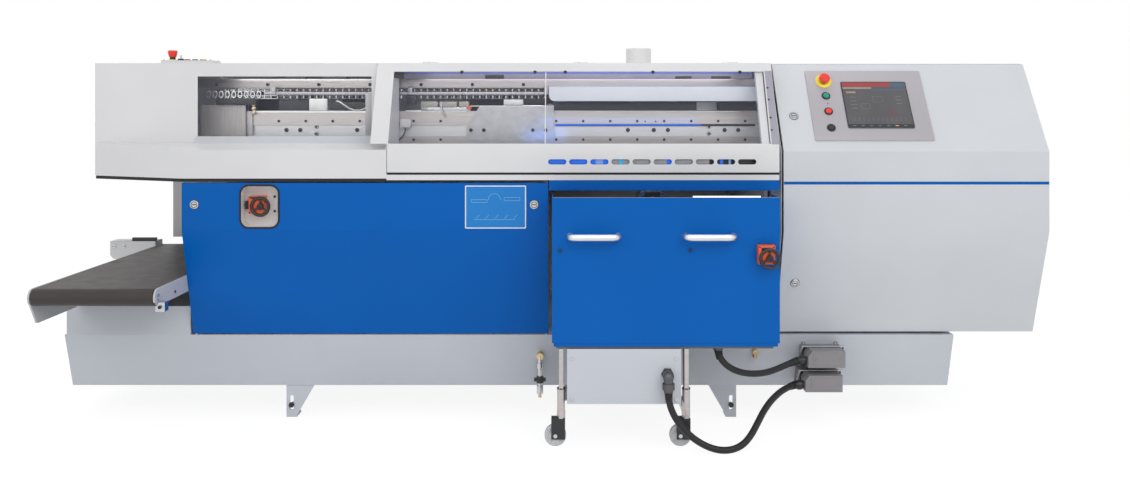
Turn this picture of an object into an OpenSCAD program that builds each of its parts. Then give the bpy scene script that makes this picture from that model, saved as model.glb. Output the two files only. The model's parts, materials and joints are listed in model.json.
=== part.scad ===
// Perfect binding machine: plinth, covers, hinged hood, control cabinet, delivery conveyor
// and a roll-out gluing unit. X runs along the machine, Y to the rear, Z up from the floor.
// Places along X are measured from the left end of the plinth and places along Y from the
// main front plane; machine() then moves all to the middle of the footprint.

/* [Plinth] */
// Length of the plinth
plinth_len = 3305; // [3250:5:3340]
// Height of the plinth's underside above the floor
plinth_bottom = 122; // [118:1:130]
// Height of the plinth's top
plinth_top = 327; // [315:1:330]
// Setback of the plinth's front at its top
plinth_front_top = 117; // [110:1:125]
// Setback of the plinth's front at its underside
plinth_front_bottom = 180; // [160:5:190]
// Height of the raised box under the conveyor
raised_box_h = 106; // [90:2:110]
// Depth of the machine body behind the main front plane
body_depth = 1040; // [1000:10:1200]
// Thickness of cover sheets
sheet = 3; // [2:0.5:4]

/* [Covers] */
// Height of the top covers
cover_top = 1338; // [1330:1:1360]
// Place of the left end of the left cover
cover_left = 94; // [80:2:110]
// Place of the vertical fold where the left cover's band turns back
cover_fold = 478; // [470:2:490]
// Lower edge of the left cover's band
band_bottom = 916; // [910:1:920]
// Upper edge of the left cover's band
band_top = 1019; // [1000:1:1030]
// Setback of the left cover's upper face
upper_setback = 158; // [150:1:170]
// Height of the ledge where it meets the upper face
ledge_top = 1040; // [1032:1:1050]
// Width of the left window
window_w = 654; // [500:2:660]
// Height of the left window
window_h = 225; // [180:1:235]
// Lower edge of the left window
window_z = 1063; // [1060:1:1075]

/* [Hood] */
// Left end of the hood's band
hood_left = 1219; // [1215:1:1225]
// Length of the hood's band
hood_len = 1413; // [1405:1:1414]
// How far the hood's upper frame laps over the left cover
hood_lap = 61; // [50:1:64]
// Lower edge of the hood
hood_bottom = 938; // [936:1:942]
// Height of the fold above the hood's band
hood_fold_z = 1038; // [1030:1:1045]
// Setback of the hood's top front edge
hood_lean = 150; // [140:1:160]
// Setback of the hood's hinge line
hinge_y = 335; // [330:1:340]
// Length of one slot in the hood's band
slot_len = 66; // [50:1:70]
// Height of one slot in the hood's band
slot_h = 19; // [14:1:22]
// Pitch of the slots
slot_pitch = 76; // [74:1:78]
// Number of slots
slot_count = 10; // [4:1:10]

/* [Left panel] */
// Left end of the blue panel
panel_left = 480; // [480:1:484]
// Width of the blue panel
panel_w = 1319; // [1250:1:1322]
// Top of the blue panel
panel_top = 900; // [895:1:901]
// Height of the panel's fold
panel_fold_z = 725; // [700:1:730]
// Width of the adjuster cut-out
recess_w = 145; // [120:1:150]
// Height of the adjuster cut-out
recess_h = 159; // [150:1:160]

/* [Control cabinet] */
// Left end of the cabinet
cabinet_x = 2641; // [2639:1:2645]
// Width of the cabinet
cabinet_w = 963; // [900:1:1000]
// Setback of the cabinet's top front edge
cabinet_lean = 210; // [180:5:230]
// Height of the upper fold of the door
door_fold_z = 1013; // [1000:1:1025]
// Height of the lower fold of the door
door_low_fold_z = 724; // [700:1:740]
// Lower edge of the door
door_bottom = 336; // [332:1:345]
// Depth of the door's returns
door_depth = 12; // [10:1:13]
// How far the door's left edge stands in from the cabinet's side, to swing clear of the hood
door_inset = 7; // [7:1:10]

/* [Gluing unit] */
// Left end of the gluing unit's front panel
unit_x = 1815; // [1812:1:1818]
// Width of the gluing unit's front panel
unit_w = 786; // [700:1:788]
// How far the front panel stands in front of the main plane
unit_out = 153; // [140:1:160]
// Lower edge of the front panel
unit_bottom = 359; // [356:1:365]
// Upper edge of the front panel
unit_top = 862; // [850:1:865]
// Outer radius of the caster wheels
caster_r = 37.5; // [35:0.5:38]
// Diameter of the bow handles' tube
handle_d = 28; // [20:1:30]

/* [Conveyor] */
// Width of the delivery belt
belt_w = 412; // [300:1:412]
// Height of the belt's upper surface
belt_top = 558; // [550:1:565]
// Radius over the belt at the front roller
belt_r = 29.5; // [26:0.5:32]
// How far the front roller's axis stands in front of the main plane
roller_out = 205; // [180:5:220]
// How far the side table stands out left of the plinth
table_out = 151; // [120:1:160]

/* [Fits] */
// Radial clearance of turning pins
pin_fit = 0.05; // [0.02:0.01:0.08]
// Clearance of pieces that slide or turn past each other
free_fit = 0.4; // [0.3:0.1:0.6]

/* [Hidden] */
$fn = 48;

// colours of the finishes
light_grey = [0.87, 0.87, 0.88];
base_grey = [0.77, 0.79, 0.82];
cover_blue = [0.0, 0.36, 0.71];
steel = [0.62, 0.63, 0.65];
dark = [0.16, 0.16, 0.18];
orange = [0.94, 0.35, 0.16];

// footprint, from which the middle is found
x_min = -table_out;
x_max = cabinet_x + cabinet_w;
side_plate_r = belt_r + 0.5;
y_min = -roller_out - side_plate_r;
y_max = body_depth + sheet;
module machine() translate([-(x_min + x_max) / 2, -(y_min + y_max) / 2, 0]) children();

// ---- helpers ----
// a profile drawn in Y and Z, extruded along X
module along_x(x0, x1) translate([x0, 0, 0]) rotate([90, 0, 90]) linear_extrude(x1 - x0) children();
// an outline drawn in X and Z, extruded along Y
module along_y(y0, y1) translate([0, y1, 0]) rotate([90, 0, 0]) linear_extrude(y1 - y0) children();
// a block from its low corner to its high corner
module block(low, high) translate(low) cube(high - low);
module rod_x(x0, x1, r) translate([x0, 0, 0]) rotate([0, 90, 0]) cylinder(h = x1 - x0, r = r);
module rod_y(y0, y1, r) translate([0, y0, 0]) rotate([-90, 0, 0]) cylinder(h = y1 - y0, r = r);
module rounded_rect(w, h, r) {
    translate([-w / 2 + r, -h / 2]) square([w - 2 * r, h]);
    translate([-w / 2, -h / 2 + r]) square([w, h - 2 * r]);
    for (x = [-1, 1]) for (y = [-1, 1]) translate([x * (w / 2 - r), y * (h / 2 - r)]) circle(r);
}
// a slot with round ends, centred
module slot_shape(len, h) {
    translate([-(len - h) / 2, -h / 2]) square([len - h, h]);
    for (x = [-1, 1]) translate([x * (len - h) / 2, 0]) circle(h / 2);
}
module socket_screw(r, h) difference() {
    cylinder(h = h, r = r);
    translate([0, 0, h * 0.4]) cylinder(h = h, r = r * 0.55, $fn = 6);
}

function unit(v) = v / norm(v);
function inward(a, b) = let (d = unit(b - a)) [d[1], -d[0]];
// a path moved sideways by t, so that a folded sheet keeps one thickness
function moved(path, t) = [for (i = [0 : len(path) - 1])
    let (first = i == 0, last = i == len(path) - 1,
         n0 = inward(path[first ? 0 : i - 1], path[first ? 1 : i]),
         n1 = inward(path[last ? i - 1 : i], path[last ? i : i + 1]),
         m = unit(n0 + n1))
    path[i] + t * m / (m * n0)];
function reversed(list) = [for (i = [len(list) - 1 : -1 : 0]) list[i]];
module folded(path, t) polygon(concat(path, reversed(moved(path, t))));
function lerp_y(a, b, z) = a[0] + (b[0] - a[0]) * (z - a[1]) / (b[1] - a[1]);

// ---- plinth and feet ----
plinth_profile = [[plinth_front_top, plinth_top], [body_depth, plinth_top],
    [body_depth, plinth_bottom], [plinth_front_bottom, plinth_bottom]];
plinth_sheet = 4;
plinth_inside = [[plinth_front_top + 2 * plinth_sheet, plinth_top - plinth_sheet],
    [body_depth - plinth_sheet, plinth_top - plinth_sheet],
    [body_depth - plinth_sheet, plinth_bottom + plinth_sheet],
    [plinth_front_bottom + plinth_sheet, plinth_bottom + plinth_sheet]];
plinth_lip = 60;
raised_len = 461;
raised_x = 8;
raised_depth = 600;
// lugs on the plinth with the stub pins that the left panel tilts on
lug_w = 8;
panel_pin_r = 3;
module panel_lugs() {
    for (x = [panel_left + sheet + 2, panel_left + panel_w - sheet - 2 - lug_w])
        block([x, panel_axis[0] - 1.5, plinth_top - 1], [x + lug_w, panel_axis[0] + 9, panel_axis[1] + 5]);
    for (x = [panel_left + 0.3, panel_left + panel_w - sheet - 3])
        translate([0, panel_axis[0], panel_axis[1]]) rod_x(x, x + sheet + 2.7, panel_pin_r);
}
module base_plinth() machine() color(base_grey) {
    panel_lugs();
    difference() {
        union() {
            along_x(0, plinth_len) polygon(plinth_profile);
            block([raised_x, plinth_front_top - 1, plinth_top],
                [raised_x + raised_len, plinth_front_top + raised_depth, plinth_top + raised_box_h]);
        }
        along_x(plinth_sheet, plinth_len - plinth_sheet) polygon(plinth_inside);
        block([plinth_sheet, plinth_front_bottom + plinth_lip, plinth_bottom - 1],
            [plinth_len - plinth_sheet, body_depth - plinth_lip, plinth_bottom + plinth_sheet + 1]);
        block([raised_x + plinth_sheet, plinth_front_top + plinth_sheet, plinth_top - plinth_sheet - 1],
            [raised_x + raised_len - plinth_sheet, plinth_front_top + raised_depth - plinth_sheet,
            plinth_top + raised_box_h - plinth_sheet]);
    }
}

foot_xs = [826, 2488];
foot_w = 40;
foot_plate = 8;
foot_flange = 62;
anchor_r = 7;
foot_front_y = plinth_front_bottom + 4;
foot_rear_y = body_depth - foot_flange;
// one bracket: slotted plate with its bolt, top and bottom flanges and a gusset to one side
module foot(side) {
    slot_z = plinth_bottom * 0.45;
    difference() {
        union() {
            block([-foot_w / 2, 0, 0], [foot_w / 2, foot_plate, plinth_bottom]);
            block([-foot_w / 2, 0, 0], [foot_w / 2, foot_flange, foot_plate]);
            block([-foot_w / 2, 0, plinth_bottom - foot_plate],
                [foot_w / 2, foot_flange - 6, plinth_bottom]);
        }
        translate([0, foot_flange * 0.62, -1]) cylinder(h = foot_plate + 2, r = anchor_r);
        translate([0, 0, slot_z]) along_y(-1, foot_plate + 1) rotate(90) slot_shape(56, 14);
    }
    along_y(0, foot_plate) polygon([[side * foot_w / 2, plinth_bottom],
        [side * (foot_w / 2 + 66), plinth_bottom], [side * foot_w / 2, foot_plate]]);
    translate([0, 0, slot_z - 8]) rod_y(-9, foot_plate + 12, 6);
    translate([0, 0, slot_z - 8]) rotate([90, 0, 0]) cylinder(h = 8, r = 10.5, $fn = 6);
}
module mounting_feet() machine() color(steel) {
    translate([foot_xs[0], foot_front_y, 0]) foot(1);
    translate([foot_xs[1], foot_front_y, 0]) foot(-1);
    translate([foot_xs[0], foot_rear_y, 0]) foot(1);
    translate([foot_xs[1], foot_rear_y, 0]) foot(-1);
}

// ---- mechanism frame ----
bulkhead_xs = [500, 1780, 2618];
bulkhead_t = 12;
spine_z = 870;
rail_y = 294;
rail_back_y = 318;
post_t = 12;
carriage_y = rail_back_y + post_t + 12;
guide_y = 500;
arm_z = 1255;
arm_top = 1290;
beam_y = 300;
beam_depth = 45;
sprocket_xs = [600, 2530];
sprocket_y = 387;
chain_r = 90;
chain_t = 8;
chain_z = 1204;
chain_top = 1245;
shaft_r = 15;
mill_x = 1450;
mill_y = 400;
mill_table_z = 800;
mill_table_y = 260;
motor_r = 80;
motor_h = 240;
spindle_r = 14;
end_wall_z = 591;
end_wall_y = 870;
module bulkhead() union() {
    translate([200, plinth_top]) square([body_depth - 200, spine_z - plinth_top]);
    translate([guide_y + 20, spine_z - 1]) square([body_depth - guide_y - 20, arm_top - spine_z + 1]);
    translate([beam_y + beam_depth, arm_z])
        square([body_depth - beam_y - beam_depth, arm_top - arm_z]);
    translate([rail_back_y, spine_z - 1]) square([post_t, 1100 - spine_z]);
}
module shaft_bracket(x0, x1) block([x0, beam_y + beam_depth, arm_z], [x1, 540, arm_z + 12]);
module inner_frame() machine() color(base_grey) {
    difference() {
        for (x = bulkhead_xs) along_x(x, x + bulkhead_t) bulkhead();
        // way out for the books above the delivery belt
        block([bulkhead_xs[0] - 1, 240, 520], [bulkhead_xs[0] + bulkhead_t + 1, 700, 760]);
    }
    // guide bar of the clamp carriage
    block([bulkhead_xs[0], guide_y, 1000], [bulkhead_xs[2] + bulkhead_t, guide_y + 20, 1040]);
    shaft_bracket(bulkhead_xs[0], sprocket_xs[0] + 50);
    shaft_bracket(sprocket_xs[1] - 50, bulkhead_xs[2] + bulkhead_t);
    for (x = sprocket_xs) translate([x, sprocket_y, chain_z - 6])
        cylinder(h = arm_z - chain_z + 8, r = shaft_r);
    // end wall behind the conveyor
    block([108, end_wall_y, end_wall_z], [bulkhead_xs[0], end_wall_y + bulkhead_t, band_bottom - 4]);
    block([108, end_wall_y, end_wall_z], [108 + sheet, body_depth, band_bottom - 4]);
    // milling station: table, motor and spindle bore
    difference() {
        union() {
            block([bulkhead_xs[0] + bulkhead_t, mill_table_y, mill_table_z],
                [bulkhead_xs[1], 560, mill_table_z + 12]);
            translate([mill_x, mill_y, mill_table_z - motor_h]) cylinder(h = motor_h, r = motor_r);
        }
        translate([mill_x, mill_y, mill_table_z - 60]) cylinder(h = 80, r = spindle_r + pin_fit);
    }
    // chain drive motor with its gearbox, hung from the rear column
    block([2380, 560, 1090], [2530, 700, 1200]);
    translate([2455, 630, 850]) cylinder(h = 242, r = 62);
    block([2440, 560, 1195], [2630, 700, 1207]);
}

// ---- transport ----
rail_x0 = 620;
rail_x1 = bulkhead_xs[2] + bulkhead_t;
rail_z = 1102;
rail_h = 55;
plate_z = 1058;
low_beam_z = 1024;
low_beam_h = 31;
rail_pitch = 105;
rail_screw_xs = [641, 1826];
front_plate_y = rail_y - 12;
front_plate = [[1479, 1029], [1817, 1029], [1817, 1178], [1530, 1178], [1479, 1100]];
left_block = [[448, 1059], [620, 1059], [620, 1180], [448, 1180]];
module screw_row(x0, x1, pitch, z, y, r, h)
    for (x = [x0 : pitch : x1]) translate([x, y, z]) rotate([90, 0, 0]) socket_screw(r, h);
module transport_rails() machine() color(steel) {
    block([rail_x0, rail_y, rail_z], [rail_x1, rail_back_y, rail_z + rail_h]);
    block([rail_x0, rail_y + 6, plate_z], [rail_x1, rail_back_y, rail_z]);
    block([rail_x0, rail_y, low_beam_z], [rail_x1, rail_back_y, low_beam_z + low_beam_h]);
    block([rail_x0, rail_y + 10, low_beam_z], [rail_x1, rail_back_y, rail_z]);
    along_y(front_plate_y, rail_y) polygon(front_plate);
    along_y(front_plate_y, rail_back_y) polygon(left_block);
    screw_row(rail_screw_xs[0], 1420, rail_pitch, 1118, rail_y, 5, 4);
    screw_row(rail_screw_xs[1], 2570, rail_pitch, 1118, rail_y, 5, 4);
    screw_row(rail_screw_xs[0] + 6 * rail_pitch, 1420, rail_pitch, 1046, rail_y, 5, 4);
    screw_row(rail_screw_xs[1], 2570, rail_pitch, 1046, rail_y, 5, 4);
    for (x = [1495, 1545, 1735, 1785]) translate([x, front_plate_y, 1083])
        rotate([90, 0, 0]) socket_screw(7, 5);
    for (x = [774, 828, 1050, 2105, 2206, 2261, 2482, 2535])
        translate([x, rail_y + 6, 1083]) rotate([90, 0, 0]) socket_screw(8, 4);
}
tray_x0 = 1799;
tray_x1 = 2596;
module top_beam() machine() color(light_grey) {
    block([rail_x0 - 190, beam_y, 1247], [rail_x1, beam_y + beam_depth, 1282]);
    screw_row(501, 1750, 199.5, 1260, beam_y, 5, 4);
    // chain guide strip on its hangers, between the two strands
    block([690, rail_y - 8, 1221], [tray_x0 - 12, rail_y - 4, 1231]);
    for (x = [720, 1250, 1780]) block([x, rail_y - 12, 1221], [x + 16, rail_y - 8, 1250]);
    for (x = [720, 1250, 1780]) block([x, rail_y - 12, 1247], [x + 16, beam_y, 1250]);
    // white tray over the spine stations
    block([tray_x0, 200, 1195], [tray_x1, rail_y - 8, 1250]);
    block([tray_x0, rail_y - 9, 1247], [tray_x1, beam_y, 1250]);
}
module chain_loop(r, t, z0, z1) translate([0, sprocket_y, z0]) linear_extrude(z1 - z0) difference() {
    union() {
        translate([sprocket_xs[0], -r - t / 2])
            square([sprocket_xs[1] - sprocket_xs[0], 2 * r + t]);
        for (x = sprocket_xs) translate([x, 0]) circle(r + t / 2, $fn = 96);
    }
    translate([sprocket_xs[0], -r + t / 2]) square([sprocket_xs[1] - sprocket_xs[0], 2 * r - t]);
    for (x = sprocket_xs) translate([x, 0]) circle(r - t / 2, $fn = 96);
}
module drive_chain() machine() color(dark) {
    chain_loop(chain_r, chain_t, chain_z, 1219);
    chain_loop(chain_r, chain_t, 1233, chain_top);
    chain_loop(chain_r, 3, 1219, 1233);
}
teeth = 30;
tooth_h = 6;
function tooth_outline(r) = [for (i = [0 : teeth - 1]) for (k = [0 : 3])
    let (a = 360 * (i + k / 4) / teeth, q = (k == 1 || k == 2) ? r : r - tooth_h)
    [q * cos(a), q * sin(a)]];
module sprocket() difference() {
    union() {
        translate([0, 0, chain_z + 2]) linear_extrude(11) polygon(tooth_outline(chain_r - chain_t / 2 - 0.3));
        translate([0, 0, 1235]) linear_extrude(8) polygon(tooth_outline(chain_r - chain_t / 2 - 0.3));
        translate([0, 0, chain_z - 2]) cylinder(h = 42, r = 34);
    }
    translate([0, 0, chain_z - 10]) cylinder(h = 60, r = shaft_r + pin_fit);
}
module sprocket_left() machine() color(steel) translate([sprocket_xs[0], sprocket_y, 0]) sprocket();
module sprocket_right() machine() color(steel) translate([sprocket_xs[1], sprocket_y, 0]) sprocket();

carriage_x = 1850;
carriage_w = 300;
jaw_t = 25;
book_gap = 60;
jaw_z = 892;
module clamp_carriage() machine() color(steel) {
    x0 = carriage_x - carriage_w / 2;
    x1 = carriage_x + carriage_w / 2;
    back_y = carriage_y + 2 * jaw_t + book_gap;
    block([x0, carriage_y, jaw_z], [x1, carriage_y + jaw_t, 1150]);
    block([x0, carriage_y + jaw_t + book_gap, jaw_z], [x1, back_y, 1150]);
    block([x0, carriage_y, 1150], [x1, back_y, 1185]);
    block([x0, back_y - 1, 990], [x1, guide_y - free_fit, 1050]);
    block([x0, back_y - 1, 1040 + free_fit], [x1, guide_y + 14, 1060]);
    // shelf with the dog that the chain carries
    block([carriage_x - 45, back_y - 1, 1165], [carriage_x + 45, sprocket_y + chain_r + 12, 1185]);
    block([carriage_x - 20, sprocket_y + chain_r - 12, 1184],
        [carriage_x + 20, sprocket_y + chain_r + 12, chain_z - free_fit]);
}
module milling_head() machine() color(steel) translate([mill_x, mill_y, 0]) {
    translate([0, 0, mill_table_z - 50]) cylinder(h = 70, r = spindle_r);
    translate([0, 0, mill_table_z + 20]) cylinder(h = 34, r = 34);
    translate([0, 0, mill_table_z + 54]) linear_extrude(14) polygon([for (i = [0 : 23]) for (k = [0, 1])
        let (a = 15 * (i + k * 0.7), q = k == 0 ? 120 : 108) [q * cos(a), q * sin(a)]]);
}
// ---- covers ----
hinge_z = cover_top + 6;
hinge_xs = [1300, 1890, 2480];
knuckle = 30;
pipe_x = 2154;
pipe_y = 400;
pipe_r = 50;
cover_path = [[25, band_bottom], [0, band_bottom], [0, band_top], [upper_setback, ledge_top],
    [upper_setback, cover_top], [body_depth, cover_top]];
band_path = [cover_path[0], cover_path[1], cover_path[2], cover_path[3]];
upper_path = [cover_path[3], cover_path[4], cover_path[5]];
cover_right = hood_left - hood_lap - 3;
module rear_cover() machine() color(light_grey) {
    difference() {
        union() {
            block([cover_left, body_depth, plinth_top], [cabinet_x - 3, body_depth + sheet, cover_top]);
            block([cover_right + 3, hinge_y + 2, cover_top - sheet],
                [cabinet_x - 3, body_depth + sheet, cover_top]);
            for (x = hinge_xs) block([x, hinge_y, cover_top - 1], [x + knuckle, hinge_y + 22, hinge_z - 3]);
            for (x = hinge_xs) translate([0, hinge_y, hinge_z]) rod_x(x, x + knuckle, 6);
        }
        translate([pipe_x, pipe_y, cover_top - 10]) cylinder(h = 20, r = pipe_r);
        block([cover_left - 1, body_depth - 1, plinth_top - 1], [108, body_depth + 9, end_wall_z]);
    }
    for (x = hinge_xs) translate([0, hinge_y, hinge_z]) rod_x(x, x + 2 * knuckle, 3);
}
partition_w = 12;
function ledge_z(y) = band_top + (ledge_top - band_top) * y / upper_setback;
module left_cover() machine() color(light_grey) {
    chamfer = [[cover_fold, 0], [cover_left, upper_setback], [cover_fold, upper_setback]];
    difference() {
        union() {
            along_x(cover_fold, cover_right) folded(cover_path, sheet);
            along_x(cover_right, hood_left - 2) folded(band_path, sheet);
            along_x(cover_left, cover_fold) folded(concat([[upper_setback, ledge_top - sheet]],
                [cover_path[4], cover_path[5]]), sheet);
            along_x(cover_right - sheet, cover_right) folded(upper_path, 25);
        }
        block([window_x, 0, window_z], [window_x + window_w, upper_setback + 20, window_z + window_h]);
    }
    // band and ledge turned back towards the left end
    intersection() {
        along_x(cover_left, cover_fold) folded([cover_path[2], cover_path[3]], sheet);
        translate([0, 0, band_bottom]) linear_extrude(200) polygon(chamfer);
    }
    intersection() {
        translate([0, 0, band_bottom]) linear_extrude(200)
            folded([[cover_fold, 0], [cover_left, upper_setback]], sheet);
        along_x(cover_left, cover_fold + sheet) polygon([[-9, band_bottom - 1], [-9, ledge_z(-9)],
            [upper_setback + 9, ledge_z(upper_setback + 9)], [upper_setback + 9, band_bottom - 1]]);
    }
    // left end wall
    block([cover_left, upper_setback, band_bottom], [cover_left + sheet, body_depth, cover_top]);
    // sill under the window
    along_x(window_x - 6, window_x + window_w + 6) polygon([[upper_setback, window_z],
        [upper_setback - 19, ledge_z(upper_setback - 19) - 1], [upper_setback + 1, ledge_top - 1],
        [upper_setback + 1, window_z]]);
    // partition beside the hood
    along_x(hood_left - 2 - partition_w, hood_left - 2) polygon([[32, ledge_z(32) - 1.5],
        [155, 1283], [276, 1283], [276, ledge_top - 10], [upper_setback - 8, ledge_top - 10],
        [upper_setback - 8, ledge_z(upper_setback - 8) - 1.5]]);
    block([cover_right - sheet, 250, 1240], [hood_left - 2, 276, 1283]);
}
window_x = 479;
module left_window() machine() color([0.8, 0.85, 0.9, 0.3])
    block([window_x - 8, upper_setback + sheet, window_z - 8],
        [window_x + window_w + 8, upper_setback + sheet + 5, window_z + window_h + 8]);

strip_z0 = 910;
strip_z1 = 932;
module cover_trims() machine() color(light_grey) {
    x1 = hood_left + hood_len;
    block([hood_left - 2, 0, strip_z0], [x1, 12, strip_z1]);
    block([hood_left - 2, 4, strip_z0 - 5], [x1, 20, strip_z0]);
    block([panel_left, 4, band_bottom - 12], [hood_left - 2, 25, band_bottom]);
    block([panel_left + panel_w + 4, 1, 873], [x1, 4, strip_z0]);
    // arms that carry the strip and the left band
    for (x = [bulkhead_xs[1], bulkhead_xs[2]])
        block([x, 12, strip_z0 + 2], [x + bulkhead_t, rail_back_y, strip_z1 - 2]);
    block([bulkhead_xs[0], sheet, band_bottom + sheet],
        [bulkhead_xs[0] + bulkhead_t, rail_back_y, band_bottom + sheet + 16]);
}

// ---- hood ----
hood_edge = [hood_lean, cover_top];
hood_path = [[22, hood_bottom], [0, hood_bottom], [0, hood_fold_z], hood_edge,
    [hinge_y - 2, cover_top]];
frame_path = [hood_path[2], hood_edge, hood_path[4]];
slope_dir = unit(hood_edge - hood_path[2]);
slope_in = inward(hood_path[2], hood_edge);
slope_len = norm(hood_edge - hood_path[2]);
function on_hood(s, t) = hood_path[2] + s * slope_dir + t * slope_in;
// a flat strip along the hood's slope, from s0 to s1 along it and t0 to t1 under its surface
module slope_strip(s0, s1, t0, t1) polygon([on_hood(s0, t0), on_hood(s1, t0), on_hood(s1, t1), on_hood(s0, t1)]);
hood_right = hood_left + hood_len;
pane_x0 = hood_left + 3;
pane_x1 = hood_right - 27;
pane_split = 1788;
post_x = 2571;
module hood() machine() color(light_grey) {
    difference() {
        union() {
            along_x(hood_left, hood_right) folded(hood_path, sheet);
            along_x(hood_left - hood_lap, hood_left) folded([on_hood(4, 0), hood_edge, hood_path[4]], sheet);
            along_x(hood_left - hood_lap, hood_left - hood_lap + sheet)
                folded([on_hood(4, 0), hood_edge, hood_path[4]], 25);
            along_x(hood_right - sheet, hood_right) folded([[0, hood_bottom], hood_path[2], hood_edge,
                hood_path[4]], 25);
            for (x = hinge_xs) block([x + knuckle + 0.5, hinge_y - 22, cover_top - 1],
                [x + 2 * knuckle, hinge_y, hinge_z - 3]);
            for (x = hinge_xs) translate([0, hinge_y, hinge_z])
                rod_x(x + knuckle + 0.5, x + 2 * knuckle, 6);
        }
        along_x(pane_x0, pane_x1) slope_strip(4, slope_len - 36, -5, 12);
        for (i = [0 : slot_count - 1]) translate([1832 + i * slot_pitch, 0, 976])
            along_y(-5, 9) slot_shape(slot_len, slot_h);
        for (x = hinge_xs) translate([0, hinge_y, hinge_z])
            rod_x(x + knuckle, x + 2 * knuckle + 1, 3 + pin_fit);
    }
    along_x(post_x, post_x + 20) slope_strip(0, slope_len - 18, 8.2, 30);
}
module hood_windows() machine() color([0.8, 0.85, 0.9, 0.3]) {
    along_x(pane_x0 - 10, pane_split - 1) slope_strip(1, slope_len - 28, sheet, 8);
    along_x(pane_split + 1, pane_x1 + 10) slope_strip(1, slope_len - 28, sheet, 8);
}

exhaust_len = 67;
module exhaust_pipe() machine() color(steel) difference() {
    union() {
        translate([pipe_x, pipe_y, cover_top - 40]) cylinder(h = 40 + exhaust_len, r = pipe_r);
        translate([pipe_x, pipe_y, cover_top]) cylinder(h = 3, r = pipe_r + 18);
    }
    translate([pipe_x, pipe_y, cover_top - 41]) cylinder(h = 42 + exhaust_len, r = pipe_r - 1.5);
}

// ---- operator console on the left cover ----
console_x = [338, 370, 395, 425, 456];
console_y = 280;
console_h = 14;
console_top = cover_top + console_h;
button_r = 11;
module console_box() machine() color(light_grey) difference() {
    union() {
        block([312, 230, cover_top], [507, 330, console_top]);
        for (x = console_x) translate([x, console_y, console_top])
            cylinder(h = 4, r = x == console_x[0] ? 20 : 12.4);
    }
    for (x = console_x) translate([x, console_y, cover_top + 2]) cylinder(h = 40, r = button_r + free_fit);
}
module console_cap(x) translate([x, console_y, console_top - 8]) cylinder(h = 14, r = button_r);
module console_red() machine() color("red") console_cap(console_x[2]);
module console_green() machine() color("green") console_cap(console_x[3]);
module console_yellow() machine() color("yellow") console_cap(console_x[4]);
module console_estop() machine() color("red") translate([console_x[0], console_y, console_top]) {
    translate([0, 0, -6]) cylinder(h = 22, r = button_r);
    translate([0, 0, 15]) rotate_extrude() polygon([[0, 0], [14, 0], [18.5, 20], [16, 25], [0, 26]]);
}
module console_key() machine() color(dark) translate([console_x[1], console_y, console_top]) {
    translate([0, 0, -8]) cylinder(h = 16, r = button_r);
    block([-1.5, -9, 8], [1.5, 9, 22]);
}

// ---- left panel ----
panel_fold_y = 0;
panel_low = plinth_top + 5;
panel_axis = [plinth_front_top + 5, plinth_top + 7];
panel_path = [[plinth_front_top - 1, panel_low], [panel_fold_y, panel_fold_z],
    [panel_fold_y, panel_top], [25, panel_top]];
panel_front_path = [panel_path[0], panel_path[1], panel_path[2]];
recess_x = 760;
recess_z = 815;
lock_r = 10;
lock_z = 822;
lock_left_x = 525;
lock_right_x = 1749;
panel_right = panel_left + panel_w;
module left_panel() machine() color(cover_blue) difference() {
    union() {
        along_x(panel_left, panel_right) folded(panel_path, sheet);
        for (x = [panel_left, panel_right - sheet]) along_x(x, x + sheet) {
            folded(panel_front_path, 25);
            translate(panel_axis) circle(5.5);
        }
    }
    translate([recess_x, 0, recess_z]) along_y(-2, 9) rounded_rect(recess_w, recess_h, 34);
    for (x = [lock_left_x, lock_right_x]) translate([x, 0, lock_z]) rod_y(-2, 9, lock_r + free_fit);
    translate([0, panel_axis[0], panel_axis[1]]) rod_x(panel_left - 1, panel_right + 1, panel_pin_r + pin_fit);
}
// lock body, drawn with its axis along Z and the panel's face at 0
module quarter_lock() {
    difference() {
        translate([0, 0, 0.3]) cylinder(h = 3, r = 15.5);
        translate([-8, -1.5, 1.8]) cube([16, 3, 5]);
    }
    translate([0, 0, -20]) cylinder(h = 20.5, r = lock_r);
    translate([-6, -6, -22]) cube([12, 30, 3]);
}
module panel_lock(x) translate([x, 0, lock_z]) rotate([90, 0, 0]) quarter_lock();
module panel_lock_left() machine() color(steel) panel_lock(lock_left_x);
module panel_lock_right() machine() color(steel) panel_lock(lock_right_x);

wheel_r = 37.5;
wheel_shaft_r = 5;
tray_wall = 2;
tray_front = 6;
tray_back = 60;
left_wheel = [757, 813];
module adjuster_tray() machine() color(light_grey) {
    translate([recess_x, 0, recess_z]) difference() {
        union() {
            along_y(tray_front + 2, tray_back) rounded_rect(recess_w - 4, recess_h - 4, 32);
            along_y(tray_front, tray_front + 2) rounded_rect(recess_w + 16, recess_h + 3, 40);
        }
        along_y(0, tray_back - tray_wall) rounded_rect(recess_w - 8, recess_h - 8, 30);
    }
    difference() {
        block([left_wheel[0] - 44, 24, left_wheel[1] - 27], [left_wheel[0] + 14, tray_back - 1, left_wheel[1] + 37]);
        translate([left_wheel[0], 0, left_wheel[1]]) rod_y(20, 50, wheel_shaft_r + pin_fit);
    }
    block([recess_x - 20, tray_back - 1, mill_table_z], [recess_x + 20, mill_table_y, mill_table_z + 12]);
}
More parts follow.
